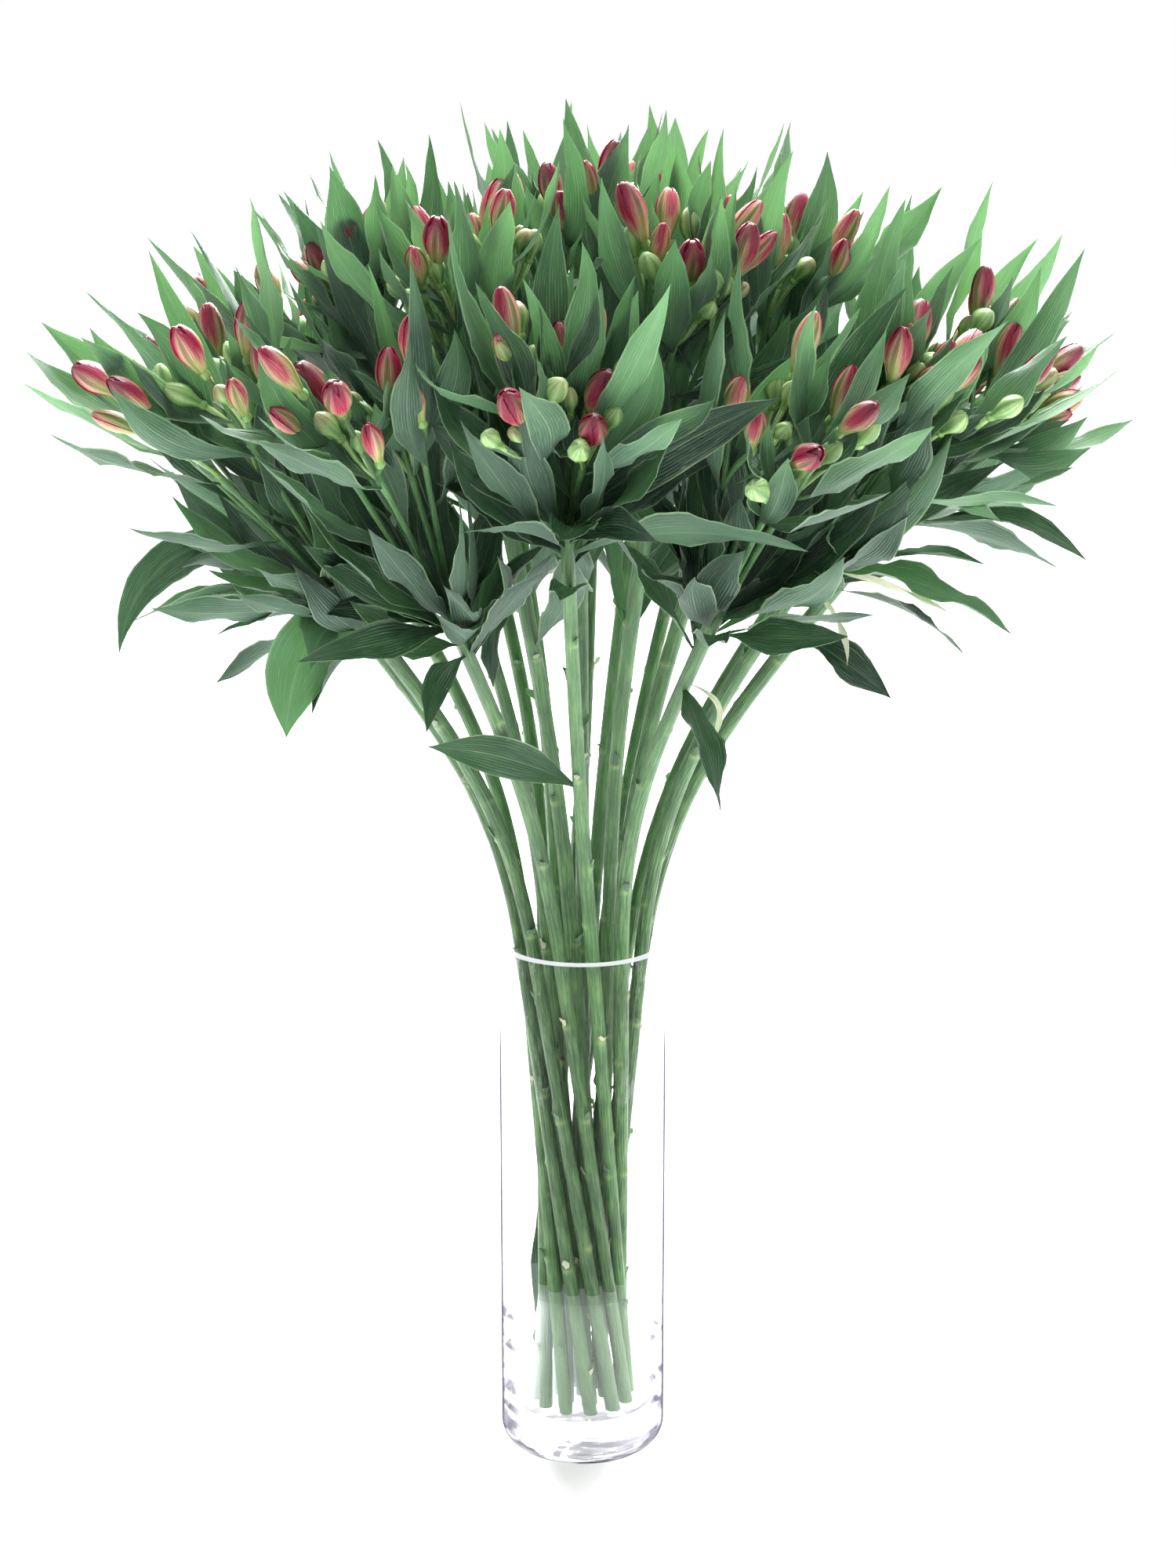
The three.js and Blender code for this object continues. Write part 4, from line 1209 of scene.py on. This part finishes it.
def addTurned(part, profile, segments, start, end):
    # The profile's radius times the cosine and sine of each turn, at the profile's height.
    radius, height = profile[:, :1], profile[:, 1:]
    angle = turns(segments)
    rings = onGrid(len(profile), segments, radius * np.cos(angle), radius * np.sin(angle), height)
    addRings(part, rings, rings, rings, (0, 0, start), (0, 0, end))


def makeVase():
    # Up the outside from a slightly hollow base, over the round lip, and down the inside to the thick floor.
    shape = vaseShape
    outer = shape["radius"]
    inner = outer - shape["wall"]
    heel = shape["heel"]
    lip = shape["lip"]
    innerHeel = shape["innerHeel"]
    push = shape["push"]
    floor = shape["floor"]
    top = shape["height"] - lip
    profile = np.concatenate([
        [[radius, push] for radius in shape["pushRadii"]],
        [[outer - heel - shape["pushEdge"], push * shape["pushLeft"]]],
        arc(outer - heel, heel, heel, -90, 0, shape["heelSteps"]),
        straightUp(outer, heel + shape["heelGap"], top - shape["lipGap"], shape["wallSteps"]),
        arc(outer - lip, top, lip, 0, 90, shape["lipSteps"]),
        arc(inner + lip, top, lip, 90, 180, shape["lipSteps"]),
        straightUp(inner, top - shape["lipGap"], floor + shape["floorGap"], shape["wallSteps"]),
        arc(inner - innerHeel, floor + innerHeel, innerHeel, 0, -90, shape["innerSteps"]),
        [[radius, floor] for radius in shape["floorRadii"]],
    ])
    part = newPart()
    addTurned(part, profile, shape["segments"], push, floor)
    vase = addPiece("glassVase", [(part, makeGlass())], shape["sharpAngle"])
    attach(vase, "root")
    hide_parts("vase")


# A noise has its scale and detail, and some have roughness and the factors that draw them out. Heights and
# radii are in metres here, as the shaders see them.
# In the glass, the glowing white and the grey tints are painted highlights, reflections and shade.
plainWhite = (1, 1, 1, 1)
glassLook = {
    "edge": (0.26, 0.25, 0.3, 1), "paintedReflectionGrey": (0.3, 0.295, 0.34, 1), "paintedBaseShade": (0.78, 0.775, 0.81, 1),
    "paintedGlowWhite": (0.93, 0.95, 1, 1), "body": (0.985, 0.99, 0.995, 1), "ior": 1.45, "mirrorIor": 1.2,
    "mirrorRoughness": 0.03, "baseHeight": (0.022, 0.014), "outerRadius": (0.046, 0.048),
    "upright": (0.9, 0.3, 0.05, 1.0), "ripple": (38.0, 2.0), "rippleBump": (0.6, 0.003),
    "bendHeight": (0.031, 0.027, 0.0, 0.6),
    "smudge": (80.0, 4.0, 0.65, (1.0, 1.0, 0.5)), "smudgeFrom": (0.54, 0.7, 0.0, 0.35),
    "smudgeHeight": (0.14, 0.27), "smudgeFacing": (0.1, 0.35),
    "arcs": (75.0, 3.0, 0.6, (0.3, 0.3, 2.6)), "paintedHazeFrom": (0.42, 0.58), "paintedHazeHeight": (0.03, 0.022),
    "crescentFrom": (0.46, 0.6), "crescentHeight": (0.036, 0.026), "crescentFacing": (0.3, 0.8),
    "slanted": (80.0, 1.5, 0.5, (0.5, 0.5, 1.6)), "strokeFrom": (0.5, 0.6, 0.0, 0.9),
    "strokeHeight": (0.125, 0.08), "strokeFacing": (0.36, 0.56),
    "paintedOutlineHeight": (0.3, 0.25, 0.2, 1.0), "paintedOutlineFacing": (0.72, 0.86), "paintedLipHighlightHeight": (0.3186, 0.319, 0.0, 0.9),
}


def seenOnly(tree, shader):
    # The shader for the eye and for mirrors, with shadows and soft light let straight through.
    rays = addNode(tree, "ShaderNodeLightPath").outputs
    soft = calc(tree, "MAXIMUM", rays["Is Shadow Ray"], rays["Is Diffuse Ray"])
    return mixShaders(tree, soft, shader, throughShader(tree, plainWhite))


def glowing(tree, tint):
    # Light of its own, at strength 1.
    return addNode(tree, "ShaderNodeEmission", {"Color": tint, "Strength": 1.0}).outputs[0]


def mirrored(tree, body, ior, roughness, normal=None):
    # The body behind a mirror, which is as strong as the angle makes it, on the outer side alone.
    bump = {"Normal": normal} if normal else {}
    fresnel = addNode(tree, "ShaderNodeFresnel", {"IOR": ior, **bump}).outputs[0]
    inside = addNode(tree, "ShaderNodeNewGeometry").outputs["Backfacing"]
    share = product(tree, fresnel, calc(tree, "SUBTRACT", 1.0, inside))
    mirror = addNode(tree, "ShaderNodeBsdfGlossy", {"Color": plainWhite, "Roughness": roughness, **bump})
    return mixShaders(tree, share, body, mirror.outputs[0])


def makeGlass():
    # The wall lets the view straight through, with a faint mirror, painted grey outlines that fade where it
    # turns under, water marks high up painted glowing white and painted dark reflection strokes low down. The
    # thick base bends the view and has painted grey haze and crescents, and the lip has a painted white glow.
    look = glassLook
    material, tree = newMaterial("clearGlass")
    place = placeOf(tree)
    height = partsOf(tree, place)[2]
    flat = scaled(tree, place, (1.0, 1.0, 0.0))
    fromAxis = addNode(tree, "ShaderNodeVectorMath", {0: flat}, operation="LENGTH").outputs["Value"]
    facing = addNode(tree, "ShaderNodeLayerWeight", {"Blend": 0.5}).outputs["Facing"]
    normal = addNode(tree, "ShaderNodeNewGeometry").outputs["Normal"]
    tilt = calc(tree, "ABSOLUTE", partsOf(tree, normal)[2])
    paintedGlowWhite = glowing(tree, look["paintedGlowWhite"])

    def at(value, name):
        return remap(tree, value, *look[name])

    outside = calc(tree, "MAXIMUM", at(fromAxis, "outerRadius"), at(height, "baseHeight"))
    upright = at(tilt, "upright")
    clear = throughShader(tree, plainWhite)
    wall = mirrored(tree, clear, look["mirrorIor"], look["mirrorRoughness"])
    # Water marks high on the wall are drawn glowing white, as a painted highlight.
    smudge = at(noise(tree, place, *look["smudge"]), "smudgeFrom")
    paintedGlowMarks = product(tree, smudge, at(height, "smudgeHeight"), at(facing, "smudgeFacing"))
    wall = mixShaders(tree, paintedGlowMarks, wall, paintedGlowWhite)
    solid = addNode(tree, "ShaderNodeBsdfPrincipled", {
        "Base Color": look["body"], "Roughness": 0.0, "IOR": look["ior"], "Transmission Weight": 1.0,
        "Normal": bumped(tree, noise(tree, place, *look["ripple"]), *look["rippleBump"]),
    }).outputs[0]
    seen = mixShaders(tree, at(height, "bendHeight"), wall, solid)
    arcs = noise(tree, place, *look["arcs"])
    slanted = noise(tree, place, *look["slanted"])
    # Painted shade and reflections: grey haze and crescents in the base, dark reflection strokes low on the
    # wall, and grey outlines at the wall's silhouette.
    for tint, *shares in (
        ("paintedBaseShade", at(arcs, "paintedHazeFrom"), at(height, "paintedHazeHeight")),
        ("paintedReflectionGrey", at(arcs, "crescentFrom"), at(height, "crescentHeight"), at(facing, "crescentFacing")),
        ("paintedReflectionGrey", at(slanted, "strokeFrom"), at(height, "strokeHeight"), outside,
         at(facing, "strokeFacing"), upright),
        ("edge", at(height, "paintedOutlineHeight"), at(facing, "paintedOutlineFacing"), upright, outside),
    ):
        seen = mixShaders(tree, product(tree, *shares), seen, throughShader(tree, look[tint]))
    # Painted highlight: the lip glows white.
    seen = mixShaders(tree, at(height, "paintedLipHighlightHeight"), seen, paintedGlowWhite)
    finishWith(tree, seenOnly(tree, seen))
    return material


waterShape = {
    "level": 104.0, "meniscus": 1.5, "reach": 2.4, "bite": 0.08, "floorRadii": (10, 25),
    "heelSteps": 8, "heelGap": 6, "wallSteps": 6, "topGap": 2,
    "inward": (0, 0.4, 0.9, 1.6, 2.6, 4, 6, 10, 18, 30),
}
# The water's faint white glow is painted light.
waterLook = {
    "paintedVeilGlow": (0.93, 1, 0.97, 1), "paintedVeilGlowShare": 0.12, "ior": 1.333, "mirrorRoughness": 0.02,
    "ripple": (35.0, 1.0), "rippleBump": (0.2, 0.001),
}


def makeWater():
    # The pool fills the vase's inside, and its surface climbs the wall by a falling exponential.
    shape = waterShape
    look = waterLook
    inner = vaseShape["radius"] - vaseShape["wall"] + shape["bite"]
    heel = vaseShape["innerHeel"]
    base = vaseShape["floor"] - shape["bite"]
    level = shape["level"]
    inward = np.array(shape["inward"])
    surface = level + shape["meniscus"] * np.exp(-inward / shape["reach"])
    profile = np.concatenate([
        [[radius, base] for radius in shape["floorRadii"]],
        arc(inner - heel, base + heel, heel, -90, 0, shape["heelSteps"]),
        straightUp(inner, base + heel + shape["heelGap"], level - shape["topGap"], shape["wallSteps"]),
        np.stack([inner - inward, surface], -1),
    ])
    part = newPart()
    addTurned(part, profile, vaseShape["segments"], base, level)
    material, tree = newMaterial("water")
    bump = bumped(tree, noise(tree, placeOf(tree), *look["ripple"]), *look["rippleBump"])
    clear = throughShader(tree, plainWhite)
    # Painted light: a faint white glow in the water stands in for light scattered from behind, and pales what
    # is seen through it.
    body = mixShaders(tree, look["paintedVeilGlowShare"], clear, glowing(tree, look["paintedVeilGlow"]))
    finishWith(tree, seenOnly(tree, mirrored(tree, body, look["ior"], look["mirrorRoughness"], bump)))
    water = addPiece("waterPool", [(part, material)], vaseShape["sharpAngle"])
    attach(water, "root")
    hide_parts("water")


makeVase()
makeWater()
print("stage: vase and water made")

studio = {
    "floorRadii": (30000, 30000, 600, 100), "floorTop": -0.3, "floorBottom": -12.0, "floorSides": 64,
    "floorColour": (0.94, 0.94, 0.94, 1), "floorSeen": (0.46, 0.46, 0.46, 1), "floorGlow": 0.25,
    "floorFade": (3.5, 1.0), "floorRoughness": 0.9, "floorShine": 0.1, "sharpAngle": 30,
    "backDepth": (-0.6, 0.6), "frontAndBack": (0.36, 2.5), "flankHeight": (0.1, 0.6, 0.6, 1.0),
    "camera": (0.0033, -1.702, 0.816), "pitch": -13.21, "lens": 68.0, "aim": (0.0, 0.0, 0.6),
    "lights": [
        ("fill", (0.9, -2.4, 1.9), 1.6, 10.0),
        ("back", (0.1, 2.1, 1.9), 1.8, 350.0),
        ("over", (0.2, 0.8, 2.5), 1.6, 165.0),
    ],
}


def makeFloor():
    # A flat disc, a hair under the vase. The eye sees it less bright than it lights the stems.
    look = studio
    part = newPart()
    low, top = look["floorBottom"], look["floorTop"]
    profile = np.stack([look["floorRadii"], (low, top, top, top)], -1)
    addTurned(part, profile, look["floorSides"], low, top)
    material, tree = newMaterial("paleFloor")
    rays = addNode(tree, "ShaderNodeLightPath").outputs
    away = addNode(tree, "ShaderNodeVectorMath", {0: placeOf(tree)}, operation="LENGTH").outputs["Value"]
    looked = calc(tree, "MAXIMUM", rays["Is Camera Ray"], rays["Is Glossy Ray"])
    looked = product(tree, looked, remap(tree, away, *look["floorFade"]))
    finishWith(tree, addNode(tree, "ShaderNodeBsdfPrincipled", {
        "Base Color": blend(tree, looked, look["floorColour"], look["floorSeen"]),
        "Roughness": look["floorRoughness"], "Specular IOR Level": look["floorShine"],
        "Emission Color": plainWhite, "Emission Strength": look["floorGlow"],
    }).outputs[0])
    floor = addPiece("floor", [(part, material)], look["sharpAngle"])


def mixNumbers(tree, share, a, b):
    # From number a at no share to number b at a full one.
    return addNode(tree, "ShaderNodeMix", {0: share, 2: a, 3: b}, data_type="FLOAT").outputs[0]


def makeSurround():
    # White to the eye all round. What it lights is lit more from behind than from the front, and what mirrors
    # it sees grey near the horizon, so that glass shows its edges.
    world = bpy.data.worlds.new("surround")
    bpy.context.scene.world = world
    world.use_nodes = True
    tree = world.node_tree
    tree.nodes.clear()
    _, depth, height = partsOf(tree, addNode(tree, "ShaderNodeTexCoord").outputs["Generated"])
    rays = addNode(tree, "ShaderNodeLightPath").outputs
    lit = remap(tree, depth, *studio["backDepth"], *studio["frontAndBack"])
    level = mixNumbers(tree, rays["Is Diffuse Ray"], 1.0, lit)
    lifted = remap(tree, calc(tree, "ABSOLUTE", height), *studio["flankHeight"])
    level = mixNumbers(tree, rays["Is Glossy Ray"], level, lifted)
    background = addNode(tree, "ShaderNodeBackground", {"Color": plainWhite, "Strength": level})
    addNode(tree, "ShaderNodeOutputWorld", {"Surface": background.outputs[0]})


def makeLights():
    # Square soft lights aimed at the middle of the heads.
    for name, place, size, power in studio["lights"]:
        lamp = bpy.data.lights.new(name, "AREA")
        lamp.shape = "SQUARE"
        lamp.size = size
        lamp.energy = power
        light = bpy.data.objects.new(name, lamp)
        light.location = place
        way = Vector(studio["aim"]) - Vector(place)
        light.rotation_euler = way.to_track_quat("-Z", "Y").to_euler()
        bpy.context.scene.collection.objects.link(light)


def makeCamera():
    # A long lens in front of the vase, looking a little down.
    camera = bpy.data.cameras.new("camera")
    camera.lens = studio["lens"]
    camera.sensor_width = 36.0
    camera.clip_start = 0.05
    camera.clip_end = 100.0
    holder = bpy.data.objects.new("camera", camera)
    holder.location = studio["camera"]
    holder.rotation_euler = (math.radians(90 + studio["pitch"]), 0, 0)
    bpy.context.scene.collection.objects.link(holder)
    bpy.context.scene.camera = holder


makeFloor()
makeSurround()
makeLights()
makeCamera()
bpy.context.scene.view_settings.view_transform = "Standard"
print("stage: studio set")
